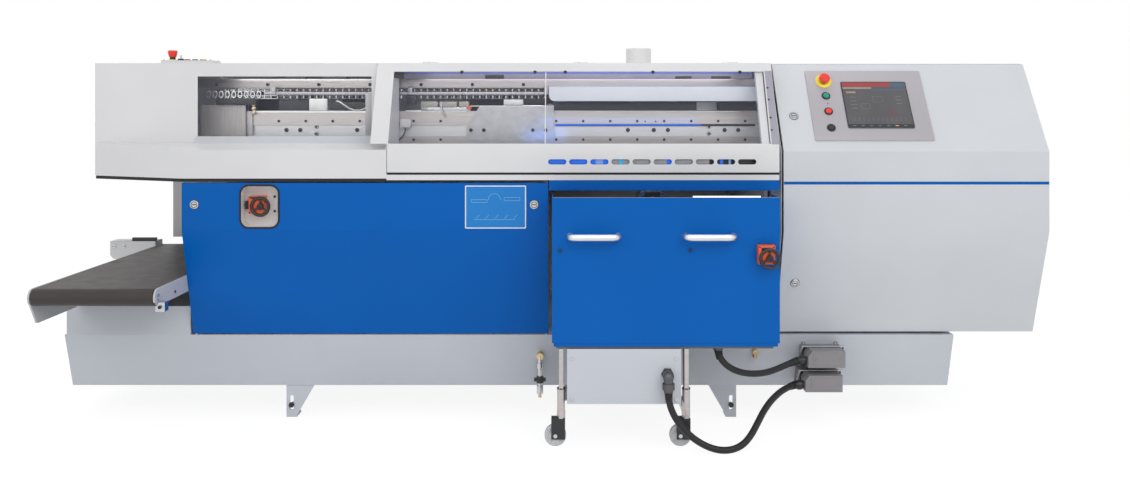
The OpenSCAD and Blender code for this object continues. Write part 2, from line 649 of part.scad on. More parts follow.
// handwheel with its axis along Z, the rim's back at 0 and the shaft behind it
module handwheel() {
    translate([0, 0, 6]) rotate_extrude() translate([wheel_r - 6, 0]) circle(6);
    cylinder(h = 13, r = 12);
    for (a = [90, 210, 330]) rotate(a) translate([0, -4, 2]) cube([wheel_r - 5, 8, 6]);
    rotate(40) translate([wheel_r - 8, 0, 6]) cylinder(h = 15, r = 5);
    translate([0, 0, -22]) cylinder(h = 23, r = wheel_shaft_r);
}
module handwheel_left() machine() color(dark) translate([left_wheel[0], 23, left_wheel[1]])
    rotate([90, 0, 0]) handwheel();
// ---- control cabinet ----
door_path = [[plinth_front_top + 13, door_bottom], [0, door_low_fold_z], [0, door_fold_z],
    [cabinet_lean, cover_top - 3]];
door_gap = 3;
slope_a = door_path[2];
slope_b = door_path[3];
slope_angle = atan2(slope_b[1] - slope_a[1], slope_b[0] - slope_a[0]);
low_angle = atan2(door_path[1][1] - door_path[0][1], door_path[1][0] - door_path[0][0]);
function shifted(path, d) = [for (p = path) p + [d, 0]];
cabinet_right = cabinet_x + cabinet_w;
door_left = cabinet_x + door_inset;
door_axis = [cabinet_right - 7, 7];
lug_zs = [780, 960];
lug_h = 20;
lug_r = 3.6;
door_pin_r = 2.5;
body_front = shifted(door_path, door_depth + door_gap);
module cabinet_body() machine() color([0.8, 0.82, 0.84]) {
    difference() {
        along_x(cabinet_x, cabinet_right) polygon(concat(body_front,
            [[body_front[3][0], cover_top], [body_depth, cover_top], [body_depth, door_bottom]]));
        along_x(cabinet_x + sheet, cabinet_right - sheet) polygon([
            body_front[0] + [-30, sheet], body_front[1] - [30, 0], body_front[2] - [30, 0],
            [body_front[3][0] - 30, cover_top - sheet], [body_depth - sheet, cover_top - sheet],
            [body_depth - sheet, door_bottom + sheet]]);
    }
    // foot frame between plinth and cabinet
    block([cabinet_x + 10, 190, plinth_top], [plinth_len - 4, body_depth - 40, door_bottom]);
    // mounting plate with the drives and the contactor rail
    block([cabinet_x + 60, body_depth - 60, 420], [cabinet_right - 60, body_depth - 54, 1280]);
    for (x = [cabinet_x + 60, cabinet_right - 80]) block([x, body_depth - 55, 420],
        [x + 20, body_depth - sheet, 1280]);
    for (i = [0 : 3]) block([cabinet_x + 120 + i * 190, body_depth - 240, 1000],
        [cabinet_x + 250 + i * 190, body_depth - 60, 1240]);
    block([cabinet_x + 120, body_depth - 160, 560], [cabinet_right - 120, body_depth - 60, 700]);
    // hinge lugs
    for (z = lug_zs) difference() {
        union() {
            block([cabinet_right - 10, door_depth + door_gap + 1, z],
                [cabinet_right - 1, door_depth + door_gap + 22, z + lug_h]);
            block([door_axis[0] - 2.4, door_axis[1], z],
                [door_axis[0] + 2.4, door_depth + door_gap + 3, z + lug_h]);
            translate([door_axis[0], door_axis[1], z]) cylinder(h = lug_h, r = lug_r);
        }
        translate([door_axis[0], door_axis[1], z - 1]) cylinder(h = lug_h + 2, r = door_pin_r + pin_fit);
    }
}
function slope_y(z) = lerp_y(slope_a, slope_b, z);
function low_y(z) = lerp_y(door_path[0], door_path[1], z);
// places its children on the door's upper slope, with Z out of the surface
module on_slope(x, z) translate([x, slope_y(z), z]) rotate([slope_angle, 0, 0]) children();
plate_x = 2767;
plate_w = 434;
plate_z0 = 1050;
plate_z1 = 1308;
plate_t = 4;
plate_seat = 0.02;
plate_len = (plate_z1 - plate_z0) / sin(slope_angle);
plate_mid_z = (plate_z0 + plate_z1) / 2;
key_x = 2832;
estop_z = 1268;
key_zs = [1212, 1155, 1095];
door_lock_x = cabinet_x + 62;
door_lock_zs = [1140, 528];
module cabinet_door() machine() color([0.8, 0.82, 0.84]) {
    difference() {
        union() {
            along_x(door_left, cabinet_right) folded(concat([door_path[0] + [door_depth, 0]], door_path,
                [slope_b + [door_depth, 0]]), sheet);
            for (x = [door_left, cabinet_right - sheet]) along_x(x, x + sheet)
                polygon(concat(door_path, reversed(shifted(door_path, door_depth))));
        }
        on_slope(key_x, estop_z) translate([0, 0, -9]) cylinder(h = 18, r = 14);
        for (z = key_zs) on_slope(key_x, z) translate([0, 0, -9]) cylinder(h = 18, r = 14);
        on_slope(door_lock_x, door_lock_zs[0]) translate([0, 0, -9]) cylinder(h = 18, r = lock_r + free_fit);
        translate([door_lock_x, low_y(door_lock_zs[1]), door_lock_zs[1]]) rotate([low_angle, 0, 0])
            translate([0, 0, -9]) cylinder(h = 18, r = lock_r + free_fit);
        for (z = lug_zs) block([cabinet_right - sheet - 0.5, 3.5, z - 1],
            [cabinet_right + 1, door_depth + 1, z + lug_h + 1]);
    }
    for (z = lug_zs) {
        translate([door_axis[0], door_axis[1], z + 1]) cylinder(h = lug_h + 14, r = door_pin_r);
        block([door_axis[0] - 3, sheet - 1, z + lug_h + 2], [cabinet_right - 1, 12, z + lug_h + 14]);
    }
}
screen_x = 2894;
screen_w = 244;
screen_len = 205;
module control_plate() machine() color([0.74, 0.71, 0.73]) {
    difference() {
        on_slope(plate_x + plate_w / 2, plate_mid_z) {
            translate([-plate_w / 2, -plate_len / 2, plate_seat]) cube([plate_w, plate_len, plate_t - plate_seat]);
        }
        on_slope(key_x, estop_z) translate([0, 0, -1]) cylinder(h = 12, r = button_r + free_fit);
        for (z = key_zs) on_slope(key_x, z) translate([0, 0, -1]) cylinder(h = 12, r = button_r + free_fit);
    }
    on_slope(key_x, estop_z) ring(30, plate_t, plate_t + 3);
    for (z = key_zs) on_slope(key_x, z) ring(16, plate_t, plate_t + 4);
    on_slope(screen_x + screen_w / 2, 1179)
        translate([-screen_w / 2, -screen_len / 2, plate_t]) cube([screen_w, screen_len, 3]);
}
module ring(r, z0, z1) translate([0, 0, z0]) difference() {
    cylinder(h = z1 - z0, r = r);
    translate([0, 0, -1]) cylinder(h = z1 - z0 + 2, r = button_r + free_fit);
}
module door_button(z) on_slope(key_x, z) translate([0, 0, -6]) cylinder(h = plate_t + 12, r = button_r);
module door_green() machine() color("green") door_button(key_zs[0]);
module door_red() machine() color("red") door_button(key_zs[1]);
module door_black() machine() color(dark) door_button(key_zs[2]);
module door_estop() machine() color("red") on_slope(key_x, estop_z) {
    translate([0, 0, -6]) cylinder(h = 24, r = button_r);
    translate([0, 0, 16]) rotate_extrude() polygon([[0, 0], [17, 0], [20, 6], [20, 12], [16, 17], [0, 19]]);
}
module door_lock_top() machine() color(steel) on_slope(door_lock_x, door_lock_zs[0]) quarter_lock();
module door_lock_bottom() machine() color(steel)
    translate([door_lock_x, low_y(door_lock_zs[1]), door_lock_zs[1]]) rotate([low_angle, 0, 0]) quarter_lock();

// ---- connectors and air coupling on the plinth ----
function plinth_y(z) = lerp_y([plinth_front_top, plinth_top], [plinth_front_bottom, plinth_bottom], z);
conn_w = 144;
conn_h = 30;
conn_y = 92;
hood_y = 15;
upper_conn = [2735, 260];
lower_conn = [2725, 172];
peg_y = 108;
peg_r = 4;
module housing(p) {
    along_x(p[0], p[0] + conn_w) polygon([[conn_y, p[1] - conn_h], [plinth_y(p[1] - conn_h), p[1] - conn_h],
        [plinth_y(p[1] + conn_h), p[1] + conn_h], [conn_y, p[1] + conn_h]]);
    translate([0, peg_y, p[1]]) rod_x(p[0] - 7, p[0] + conn_w + 7, peg_r);
}
air_x = 1767;
air_y = 112;
nipple_x = 2567;
// a round fitting from its front to the plinth's slanted face
module fitting_rod(x, z, front, r) difference() {
    translate([x, 0, z]) rod_y(front, plinth_y(z) + r, r);
    along_x(x - 2 * r, x + 2 * r) polygon(plinth_profile);
}
module plinth_fittings() machine() color(steel) {
    housing(upper_conn);
    housing(lower_conn);
    // compressed-air inlet: elbow, body and hose nipple
    fitting_rod(air_x, 248, air_y - 8, 12.5);
    translate([air_x, air_y, 186]) cylinder(h = 62, r = 9);
    translate([air_x, air_y, 206]) cylinder(h = 18, r = 13);
    translate([air_x, air_y, 138]) cylinder(h = 50, r = 7.5);
    translate([air_x, air_y, 110]) cylinder(h = 29, r = 12);
    translate([air_x, air_y, 96]) cylinder(h = 15, r = 6);
    // grease nipple block
    fitting_rod(nipple_x, 262, 108, 10);
    fitting_rod(nipple_x, 242, 112, 6);
    translate([nipple_x, 114, 242]) cylinder(h = 20, r = 5);
}
module valve_sleeve() machine() color(dark) translate([air_x, air_y, 0]) difference() {
    union() {
        translate([0, 0, 150]) cylinder(h = 24, r = 13);
        block([-22, -6, 156], [22, 6, 168]);
    }
    translate([0, 0, 140]) cylinder(h = 50, r = 7.5 + free_fit);
}
module lever(p) {
    for (x = [p[0] - 6, p[0] + conn_w + 2]) along_x(x, x + 4) difference() {
        union() {
            translate([peg_y, p[1]]) circle(9);
            polygon([[peg_y - 4, p[1] - 6], [peg_y + 4, p[1] + 7], [74, p[1] + conn_h + 7],
                [66, p[1] + conn_h + 7], [66, p[1] + conn_h - 4]]);
        }
        translate([peg_y, p[1]]) circle(peg_r + pin_fit);
    }
    block([p[0] - 6, 66, p[1] + conn_h + 3], [p[0] + conn_w + 6, 74, p[1] + conn_h + 7]);
}
module lever_upper() machine() color(steel) lever(upper_conn);
module lever_lower() machine() color(steel) lever(lower_conn);

// ---- delivery conveyor ----
belt_x0 = 58;
belt_x1 = belt_x0 + belt_w;
roller_y = -roller_out;
roller_z = belt_top - belt_r;
roller_rear_y = 880;
belt_t = 3;
roller_r = belt_r - belt_t - 0.3;
axle_r = 8;
plate_w2 = 6;
side_z0 = roller_z - side_plate_r;
table_top = 578;
table_bottom = 500;
module stadium(r) {
    translate([roller_y, roller_z - r]) square([roller_rear_y - roller_y, 2 * r]);
    for (y = [roller_y, roller_rear_y]) translate([y, roller_z]) circle(r);
}
module conveyor_belt() machine() color([0.35, 0.32, 0.31]) along_x(belt_x0, belt_x1) difference() {
    stadium(belt_r);
    stadium(belt_r - belt_t);
}
module roller(y) machine() color(steel) translate([0, y, roller_z]) {
    rod_x(belt_x0 + 1, belt_x1 - 1, roller_r);
    rod_x(belt_x0 - 8, belt_x1 + 8, axle_r);
}
module roller_front() roller(roller_y);
module roller_rear() roller(roller_rear_y);
module conveyor_frame() machine() color(steel) {
    difference() {
        union() {
            for (x = [belt_x0 - 3 - plate_w2, belt_x1 + 3]) along_x(x, x + plate_w2) stadium(side_plate_r);
            // hanging skirt of the left plate
            along_x(belt_x0 - 3 - plate_w2, belt_x0 - 3) polygon([[roller_y - 25, roller_z - 12],
                [-182, 436], [-172, 434], [100, 434], [110, side_z0 + 4]]);
            // bed between the belt's runs
            block([belt_x0 - 3, roller_y + 50, roller_z - 14], [belt_x1 + 3, roller_rear_y - 50,
                roller_z + belt_r - belt_t - 0.3]);
        }
        for (y = [roller_y, roller_rear_y]) translate([0, y, roller_z])
            rod_x(belt_x0 - 12, belt_x1 + 12, axle_r + pin_fit);
    }
    // tension block with its screw
    block([belt_x1 + 3, -215, side_z0 - 18], [belt_x1 + 35, -183, side_z0 + 14]);
    translate([belt_x1 + 19, -215, side_z0 - 2]) rotate([90, 0, 0]) socket_screw(6, 6);
    // legs down to the raised box
    for (y = [170, 600]) {
        block([belt_x0 - 3 - plate_w2, y, plinth_top + raised_box_h], [belt_x0 - 3, y + 60, side_z0 + 10]);
        // the right leg steps in under the belt to stand on the box
        block([belt_x1 + 3, y, side_z0 - 16], [belt_x1 + 3 + plate_w2, y + 60, side_z0 + 10]);
        block([belt_x1 - 9, y, side_z0 - 16], [belt_x1 + 4, y + 60, side_z0 - 10]);
        block([belt_x1 - 9, y, plinth_top + raised_box_h], [belt_x1 - 3, y + 60, side_z0 - 10]);
    }
    // side table with its rail
    difference() {
        block([-table_out, 820, table_bottom], [belt_x0 - 3 - plate_w2, 900, table_top]);
        block([-table_out - 1, 823, table_bottom - 10], [belt_x0 - 12, 897, table_top - 3]);
        along_y(810, 910) polygon([[-table_out - 1, table_bottom - 1], [-table_out + 14, table_bottom - 1],
            [-table_out - 1, table_bottom + 19]]);
    }
    block([-60, 835, table_top], [belt_x0 - 12, 850, table_top + 14]);
    for (x = [-131, -90]) translate([x, 820, table_top - 22]) rotate([90, 0, 0]) cylinder(h = 4, r = 8);
}

// ---- roll-out gluing unit ----
unit_front = -unit_out;
unit_right = unit_x + unit_w;
panel_back = unit_front + sheet;
deck_z = 340;
deck_t = 12;
leg_xs = [1839, 2272];
leg_w = 15;
leg_d = 40;
leg_y = panel_back;
arm_z0 = 98;
arm_z1 = 118;
rear_wheel_y = 400;
wheel_w = 26;
wheel_axle_r = 6;
caster_y = leg_y + leg_d / 2;
caster_trail = 20;
swivel_r = 9;
right_wheel = [unit_right - 43, 657];
indicator_front = unit_front - 36;
glue_y = 390;
glue_x = 2200;
glue_roller_r = 52;
glue_z = 812;
tank = [[glue_x - 150, glue_y - 95, 660], [glue_x + 150, glue_y + 90, 806]];
module trolley_panel() machine() color(cover_blue) {
    block([unit_x, unit_front, unit_bottom], [unit_right, panel_back, unit_top]);
    for (x = [unit_x, unit_right - sheet])
        block([x, unit_front, unit_bottom], [x + sheet, -14, unit_top]);
    block([unit_x, unit_front, unit_bottom], [unit_right, unit_front + 8, unit_bottom + sheet]);
    block([unit_x + 6, panel_back - 1, unit_bottom - 12],
        [unit_right - 6, panel_back + sheet, unit_bottom + 9]);
}
module bow_handle(x, z) {
    r = handle_d / 2 - 3;
    half = 96 - r;
    reach = 46;
    translate([x, unit_front - reach, z]) {
        rod_x(-half, half, r);
        for (s = [-1, 1]) {
            translate([s * half, 0, 0]) sphere(r + 0.4);
            translate([s * half, 0, 0]) rod_y(0, reach, r);
        }
    }
}
module trolley_fittings() machine() color(light_grey) {
    bow_handle(unit_x + 145, 729);
    bow_handle(unit_right - 245, 729);
    for (x = [unit_x + 28, unit_right - 309]) translate([x, 0, 680]) rod_y(unit_front - 12, unit_front, 7);
    difference() {
        block([right_wheel[0] - 37, indicator_front, right_wheel[1] - 20],
            [right_wheel[0] + 20, unit_front, right_wheel[1] + 44]);
        translate([right_wheel[0], 0, right_wheel[1]])
            rod_y(indicator_front - 1, unit_front - 8, wheel_shaft_r + pin_fit);
    }
}
module handwheel_right() machine() color(dark)
    translate([right_wheel[0], indicator_front - 1, right_wheel[1]]) rotate([90, 0, 0]) handwheel();
module trolley_frame() machine() color(steel) {
    difference() {
        union() {
            for (x = leg_xs) {
                block([x, leg_y, arm_z0], [x + leg_w, leg_y + leg_d, deck_z]);
                block([x, leg_y + 1, arm_z0], [x + leg_w, rear_wheel_y + 40, arm_z1]);
                block([x, leg_y + 6, deck_z], [x + leg_w, leg_y + 30, 840]);
            }
            for (x = [leg_xs[0] + leg_w / 2, leg_xs[1] + leg_w / 2])
                translate([x, caster_y, arm_z0]) cylinder(h = 24, r = 15);
        }
        for (x = leg_xs) translate([x + leg_w / 2, caster_y, arm_z0 - 1])
            cylinder(h = 22, r = swivel_r + pin_fit);
    }
    block([unit_x + 15, leg_y + sheet, deck_z], [unit_right - 21, 500, deck_z + deck_t]);
    // pedestal of the tank
    block([glue_x - 120, glue_y - 80, deck_z + deck_t], [glue_x + 120, glue_y + 80, tank[0][2]]);
    // rear axle with its two bearers
    for (x = leg_xs) difference() {
        block([x, rear_wheel_y - 16, 28], [x + leg_w, rear_wheel_y + 16, arm_z0 + 1]);
        translate([0, rear_wheel_y, caster_r]) rod_x(x - 1, x + leg_w + 1, wheel_axle_r + pin_fit);
    }
    // cable gland under the deck
    translate([cable_upper_route[0][0], cable_upper_route[0][1], cable_upper_route[0][2]])
        cylinder(h = deck_z - cable_upper_route[0][2], r = 17);
}
box_x0 = 1867;
box_x1 = 2261;
box_z0 = 150;
elbow = [2213, unit_front - 38, 254];
cable_r = 11.5;
gland_z = 202;
module switch_box() machine() color(base_grey) {
    block([box_x0 + 4, panel_back + 10, box_z0 + 3], [box_x1 - 4, 60, deck_z]);
    block([box_x0, unit_front, box_z0], [box_x1, panel_back + 10, deck_z]);
    for (x = [box_x0 + 16, box_x1 - 16]) for (z = [box_z0 + 16, deck_z - 34])
        translate([x, unit_front, z]) rotate([90, 0, 0]) socket_screw(6, 4);
    // elbow gland of the lower cable
    translate([elbow[0], 0, elbow[2]]) rod_y(elbow[1], unit_front + 1, 17);
    translate(elbow) sphere(19);
    translate([elbow[0], elbow[1], gland_z]) cylinder(h = elbow[2] - gland_z, r = 16);
    translate([elbow[0], elbow[1], gland_z + 8]) cylinder(h = 22, r = 20);
}
module glue_tank() machine() color(dark) difference() {
    union() {
        block(tank[0], tank[1]);
        for (y = [tank[0][1] - 12, tank[1][1]]) block([glue_x - 30, y, 740], [glue_x + 30, y + 12, 842]);
    }
    block(tank[0] + [6, 6, 8], tank[1] + [-6, -6, 9]);
    translate([glue_x, 0, glue_z]) rod_y(tank[0][1] - 20, tank[1][1] + 20, 12 + pin_fit);
}
module glue_roller() machine() color(steel) translate([glue_x, 0, glue_z]) {
    rod_y(tank[0][1] + 12, tank[1][1] - 12, glue_roller_r);
    rod_y(tank[0][1] - 18, tank[1][1] + 18, 12);
}
// swivel fork, its stem in the leg's bore and its cheeks either side of the wheel
module caster_fork(x) translate([x, caster_y, 0]) {
    translate([0, 0, arm_z0 - 14]) cylinder(h = 32, r = swivel_r);
    difference() {
        block([-caster_trail - 14, -wheel_w / 2 - 5, caster_r - 12],
            [14, wheel_w / 2 + 5, arm_z0 - free_fit]);
        block([-caster_trail - 20, -wheel_w / 2 - 1, 0], [20, wheel_w / 2 + 1, caster_r + caster_r + 8]);
        translate([-caster_trail, 0, caster_r]) rod_y(-40, 40, wheel_axle_r + pin_fit);
    }
}
module caster_wheel(x) translate([x - caster_trail, caster_y, caster_r]) {
    rod_y(-wheel_w / 2, wheel_w / 2, caster_r);
    rod_y(-wheel_w / 2 - 7, wheel_w / 2 + 7, wheel_axle_r);
}
module caster_fork_left() machine() color(dark) caster_fork(leg_xs[0] + leg_w / 2);
module caster_fork_right() machine() color(dark) caster_fork(leg_xs[1] + leg_w / 2);
module caster_wheel_left() machine() color("grey") caster_wheel(leg_xs[0] + leg_w / 2);
module caster_wheel_right() machine() color("grey") caster_wheel(leg_xs[1] + leg_w / 2);
module rear_wheels() machine() color("grey") translate([0, rear_wheel_y, caster_r]) {
    for (x = [leg_xs[0] + leg_w + 2, leg_xs[1] - 2 - wheel_w]) rod_x(x, x + wheel_w, caster_r);
    rod_x(leg_xs[0] - 4, leg_xs[1] + leg_w + 4, wheel_axle_r);
}

// ---- cables of the gluing unit ----
// route of the lower cable, from the elbow gland over the floor to its connector hood
cable_lower_route = [[2213, -191, 202], [2214, -192, 178], [2222, -196, 145], [2240, -202, 110],
    [2268, -208, 76], [2304, -214, 46], [2346, -217, 24], [2388, -216, 13], [2430, -207, 13],
    [2468, -188, 24], [2500, -160, 46], [2528, -126, 74], [2558, -86, 104], [2594, -44, 130],
    [2636, -2, 149], [2676, 32, 158], [2702, 50, 160]];
// route of the upper cable, from the gland under the deck to its connector hood
cable_upper_route = [[2396, -96, 324], [2400, -95, 306], [2412, -92, 284], [2434, -86, 262],
    [2466, -74, 243], [2504, -56, 230], [2546, -34, 223], [2590, -8, 222], [2632, 18, 228],
    [2672, 39, 238], [2712, 50, 248]];
cable_sides = 10;
function cable_dir(path, i) = unit(path[min(i + 1, len(path) - 1)] - path[max(i - 1, 0)]);
function cable_side(path, i, up) = unit(cross(cable_dir(path, i), up));
function cable_ring(path, i, up) = let (s = cable_side(path, i, up), n = cross(s, cable_dir(path, i)))
    [for (k = [0 : cable_sides - 1]) let (a = 360 * k / cable_sides)
    path[i] + cable_r * (cos(a) * s + sin(a) * n)];
module cable(path, up) {
    count = len(path);
    points = [for (i = [0 : count - 1]) each cable_ring(path, i, up)];
    walls = [for (i = [0 : count - 2]) for (k = [0 : cable_sides - 1]) let (j = (k + 1) % cable_sides)
        each [[i * cable_sides + k, i * cable_sides + j, (i + 1) * cable_sides + j],
        [i * cable_sides + k, (i + 1) * cable_sides + j, (i + 1) * cable_sides + k]]];
    polyhedron(points, concat(walls, [[for (k = [cable_sides - 1 : -1 : 0]) k],
        [for (k = [0 : cable_sides - 1]) (count - 1) * cable_sides + k]]));
}
module cable_lower() machine() color(dark) cable(cable_lower_route, [0.3, 1, 0]);
module cable_upper() machine() color(dark) cable(cable_upper_route, [0.3, 1, 0]);
module connector_hood(p, end) {
    along_y(hood_y, conn_y - 0.5) polygon([[p[0] + 5, p[1] - conn_h], [p[0] + conn_w - 5, p[1] - conn_h],
        [p[0] + conn_w - 5, p[1] + conn_h], [p[0] + 20, p[1] + conn_h], [p[0] + 5, p[1] + 12]]);
    translate([0, end[1], end[2]]) {
        rod_x(end[0], p[0] + 6, 15);
        rod_x(end[0] + 6, end[0] + 20, 18);
    }
}
module cable_hoods() machine() color([0.56, 0.55, 0.57]) {
    connector_hood(lower_conn, cable_lower_route[len(cable_lower_route) - 1]);
    connector_hood(upper_conn, cable_upper_route[len(cable_upper_route) - 1]);
}

base_plinth();
mounting_feet();
inner_frame();
rear_cover();
left_cover();
left_window();
cover_trims();
console_box();
exhaust_pipe();
adjuster_tray();
cabinet_body();
plinth_fittings();
conveyor_frame();
conveyor_belt();
transport_rails();
top_beam();
drive_chain();
hood();
hood_windows();
left_panel();
panel_lock_left();
panel_lock_right();
cabinet_door();
control_plate();
door_estop();
door_green();
door_red();
door_black();
door_lock_top();
door_lock_bottom();
handwheel_left();
console_estop();
console_key();
console_red();
console_green();
console_yellow();
valve_sleeve();
lever_upper();
lever_lower();
roller_front();
roller_rear();
clamp_carriage();
sprocket_left();
sprocket_right();
milling_head();
trolley_panel();
trolley_fittings();
trolley_frame();
switch_box();
glue_tank();
glue_roller();
handwheel_right();
caster_fork_left();
caster_fork_right();
caster_wheel_left();
caster_wheel_right();
rear_wheels();
cable_lower();
cable_upper();
cable_hoods();
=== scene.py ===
"""Looks of a perfect binding machine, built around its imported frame.

Places are given in millimetres from the plinth's left end, the main front plane and the floor, as a
fitter would measure them, and at() turns them into the frame's own metres.
"""

import json
import math

import bmesh
import bpy
from bpy.props import FloatProperty, FloatVectorProperty, IntProperty, PointerProperty
from bpy.types import NodeSocket, Operator, Panel, PropertyGroup
from mathutils import Matrix, Vector


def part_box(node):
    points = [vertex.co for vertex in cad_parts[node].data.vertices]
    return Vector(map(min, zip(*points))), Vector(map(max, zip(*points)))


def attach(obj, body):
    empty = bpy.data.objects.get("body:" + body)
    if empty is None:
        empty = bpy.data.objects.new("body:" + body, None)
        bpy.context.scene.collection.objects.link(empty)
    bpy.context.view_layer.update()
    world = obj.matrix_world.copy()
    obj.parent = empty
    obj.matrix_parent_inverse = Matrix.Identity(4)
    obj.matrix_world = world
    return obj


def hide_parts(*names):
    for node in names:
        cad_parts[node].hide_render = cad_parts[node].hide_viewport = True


bl_info = {
    "name": "Perfect Binding Machine",
    "version": (1, 0, 0),
    "blender": (4, 5, 0),
    "location": "View3D > Sidebar > Binder",
    "description": "Models and finishes a perfect binding machine around its packed frame",
    "category": "Add Mesh",
}

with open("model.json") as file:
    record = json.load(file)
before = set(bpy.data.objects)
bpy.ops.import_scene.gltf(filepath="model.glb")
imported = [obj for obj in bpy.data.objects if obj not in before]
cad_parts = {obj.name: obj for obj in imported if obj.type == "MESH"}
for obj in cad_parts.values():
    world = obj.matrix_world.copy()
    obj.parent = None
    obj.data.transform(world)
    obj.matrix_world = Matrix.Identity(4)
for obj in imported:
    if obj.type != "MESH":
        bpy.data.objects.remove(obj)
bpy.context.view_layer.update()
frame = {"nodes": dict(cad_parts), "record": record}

MM = 0.001
PLINTH_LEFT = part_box("base_plinth")[0].x
FRONT_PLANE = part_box("left_cover")[0].y
BODY_OF = {
    node: body
    for body, nodes in frame["record"]["behaviour"]["bodies"].items()
    for node in nodes
}
LEFTWARDS, RIGHTWARDS = (-1, 0, 0), (1, 0, 0)
FORWARDS, BACKWARDS = (0, -1, 0), (0, 1, 0)
UPWARDS = (0, 0, 1)


# ---- sizes and colours a user would change ----
def colour(name, description, value):
    return FloatVectorProperty(
        name=name, description=description, subtype="COLOR", size=3, min=0, max=1, default=value
    )


def length_in_mm(name, description, value, low, high):
    """A length that is stored in metres, from its value and its limits in mm."""
    return FloatProperty(
        name=name, description=description, unit="LENGTH",
        default=value * MM, min=low * MM, max=high * MM,
    )


class BinderColours(PropertyGroup):
    cover: colour("Covers", "Light grey powder coat of the covers", (0.71, 0.71, 0.725))
    cabinet: colour("Cabinet", "Grey powder coat of the control cabinet", (0.62, 0.64, 0.67))
    base: colour("Base", "Satin grey paint of the plinth", (0.57, 0.60, 0.65))
    blue: colour("Panels", "Blue powder coat of the lower panels", (0.0, 0.113, 0.455))
    stripe: colour("Stripe", "Blue stripe on the cabinet", (0.0, 0.105, 0.43))
    plate: colour("Operator panel", "Warm grey operator panel", (0.43, 0.41, 0.44))
    red: colour("Stop buttons", "Red of stop buttons", (0.86, 0.045, 0.03))
    green: colour("Start button", "Green of the start button", (0.01, 0.29, 0.21))
    yellow: colour("Ring", "Yellow of the emergency-stop ring", (0.90, 0.72, 0.06))
    orange: colour("Indicators", "Orange of the position indicators", (0.86, 0.115, 0.03))
    belt: colour("Belt", "Warm dark grey of the delivery belt", (0.056, 0.049, 0.046))
    # the same blue is the lamp strip's light and the painted glow behind the hood's slots
    glow: colour("Work light", "Blue light that shines in the slots", (0.003, 0.11, 0.60))


class BinderSizes(PropertyGroup):
    edge: length_in_mm("Sheet edge", "Rounding of folded sheet edges", 1.1, 0.2, 3)
    chain_pitch: length_in_mm("Chain pitch", "Distance between chain rollers", 25.4, 12, 40)
    round_steps: IntProperty(
        name="Round steps", description="Sides of turned pieces", default=48, min=16, max=96
    )
    cable_d: length_in_mm("Cable", "Diameter of the cables", 23, 10, 30)


def at(x, y, z):
    """A place in the machine's millimetres, in the frame's metres."""
    return Vector((PLINTH_LEFT + x * MM, FRONT_PLANE + y * MM, z * MM))


def in_mm(point):
    """A place of the frame in the machine's millimetres."""
    return Vector(((point.x - PLINTH_LEFT) / MM, (point.y - FRONT_PLANE) / MM, point.z / MM))


def spun(degrees, axis="Z"):
    return Matrix.Rotation(math.radians(degrees), 4, axis)


def moved(x, y, z=0):
    """A shift in mm."""
    return Matrix.Translation((x * MM, y * MM, z * MM))


def place(x, y, z, axis=FORWARDS):
    """A matrix whose Z points along axis from a place in mm, and whose X stays level."""
    up = Vector(axis).normalized()
    side = Vector(RIGHTWARDS) if abs(up.x) < 0.9 else Vector(BACKWARDS)
    side = (side - side.dot(up) * up).normalized()
    turn = Matrix((side, up.cross(side), up)).transposed().to_4x4()
    return Matrix.Translation(at(x, y, z)) @ turn


def tilted(x, y, z, degrees):
    """A matrix whose X runs along the machine, Y up a slope and Z out of it, from a place in mm."""
    return Matrix.Translation(at(x, y, z)) @ spun(degrees, "X")


def upright(x, y, z):
    """A matrix on a wall that faces forwards, with Y pointing up."""
    return tilted(x, y, z, 90)


# ---- materials ----
# the part of a noise's range that is used, and a pattern that runs no way in particular
NOISE_LOW, NOISE_HIGH = 0.3, 0.7
EVEN = (1, 1, 1)


def connect(tree, node, inputs):
    """Sets a node's inputs, or links those that are given another node's output."""
    for name, value in inputs.items():
        if isinstance(value, NodeSocket):
            tree.links.new(value, node.inputs[name])
        else:
            node.inputs[name].default_value = value


def add_node(tree, kind, inputs=(), output=0):
    """A new shader node with its inputs, as the output that is used."""
    node = tree.nodes.new("ShaderNode" + kind)
    connect(tree, node, dict(inputs))
    return node.outputs[output]


def grain(tree, scale, detail=2.0, stretch=EVEN, roughness=0.5):
    """Noise on Object coordinates, with the pattern stretched where the finish runs that way."""
    coords = add_node(tree, "TexCoord", output="Object")
    mapped = add_node(tree, "Mapping", {"Vector": coords, "Scale": stretch}, "Vector")
    inputs = {"Vector": mapped, "Scale": scale, "Detail": detail, "Roughness": roughness}
    return add_node(tree, "TexNoise", inputs, "Fac")


def spread(tree, value, low, high):
    """Maps a noise value to a range."""
    ends = {"From Min": NOISE_LOW, "From Max": NOISE_HIGH, "To Min": low, "To Max": high}
    return add_node(tree, "MapRange", {"Value": value, **ends}, "Result")


def tinted(tree, value, dark, light):
    """A colour between two, by a noise value."""
    mixed = add_node(tree, "ValToRGB", {"Fac": value}, "Color")
    ends = zip(mixed.node.color_ramp.elements, (NOISE_LOW, NOISE_HIGH), (dark, light))
    for element, position, value in ends:
        element.position = position
        element.color = (*value, 1)
    return mixed


def shade(base, amount):
    return tuple(min(1.0, channel * amount) for channel in base)


def new_material(name):
    material = bpy.data.materials.new(name)
    material.use_nodes = True
    return material, material.node_tree, material.node_tree.nodes.get("Principled BSDF")


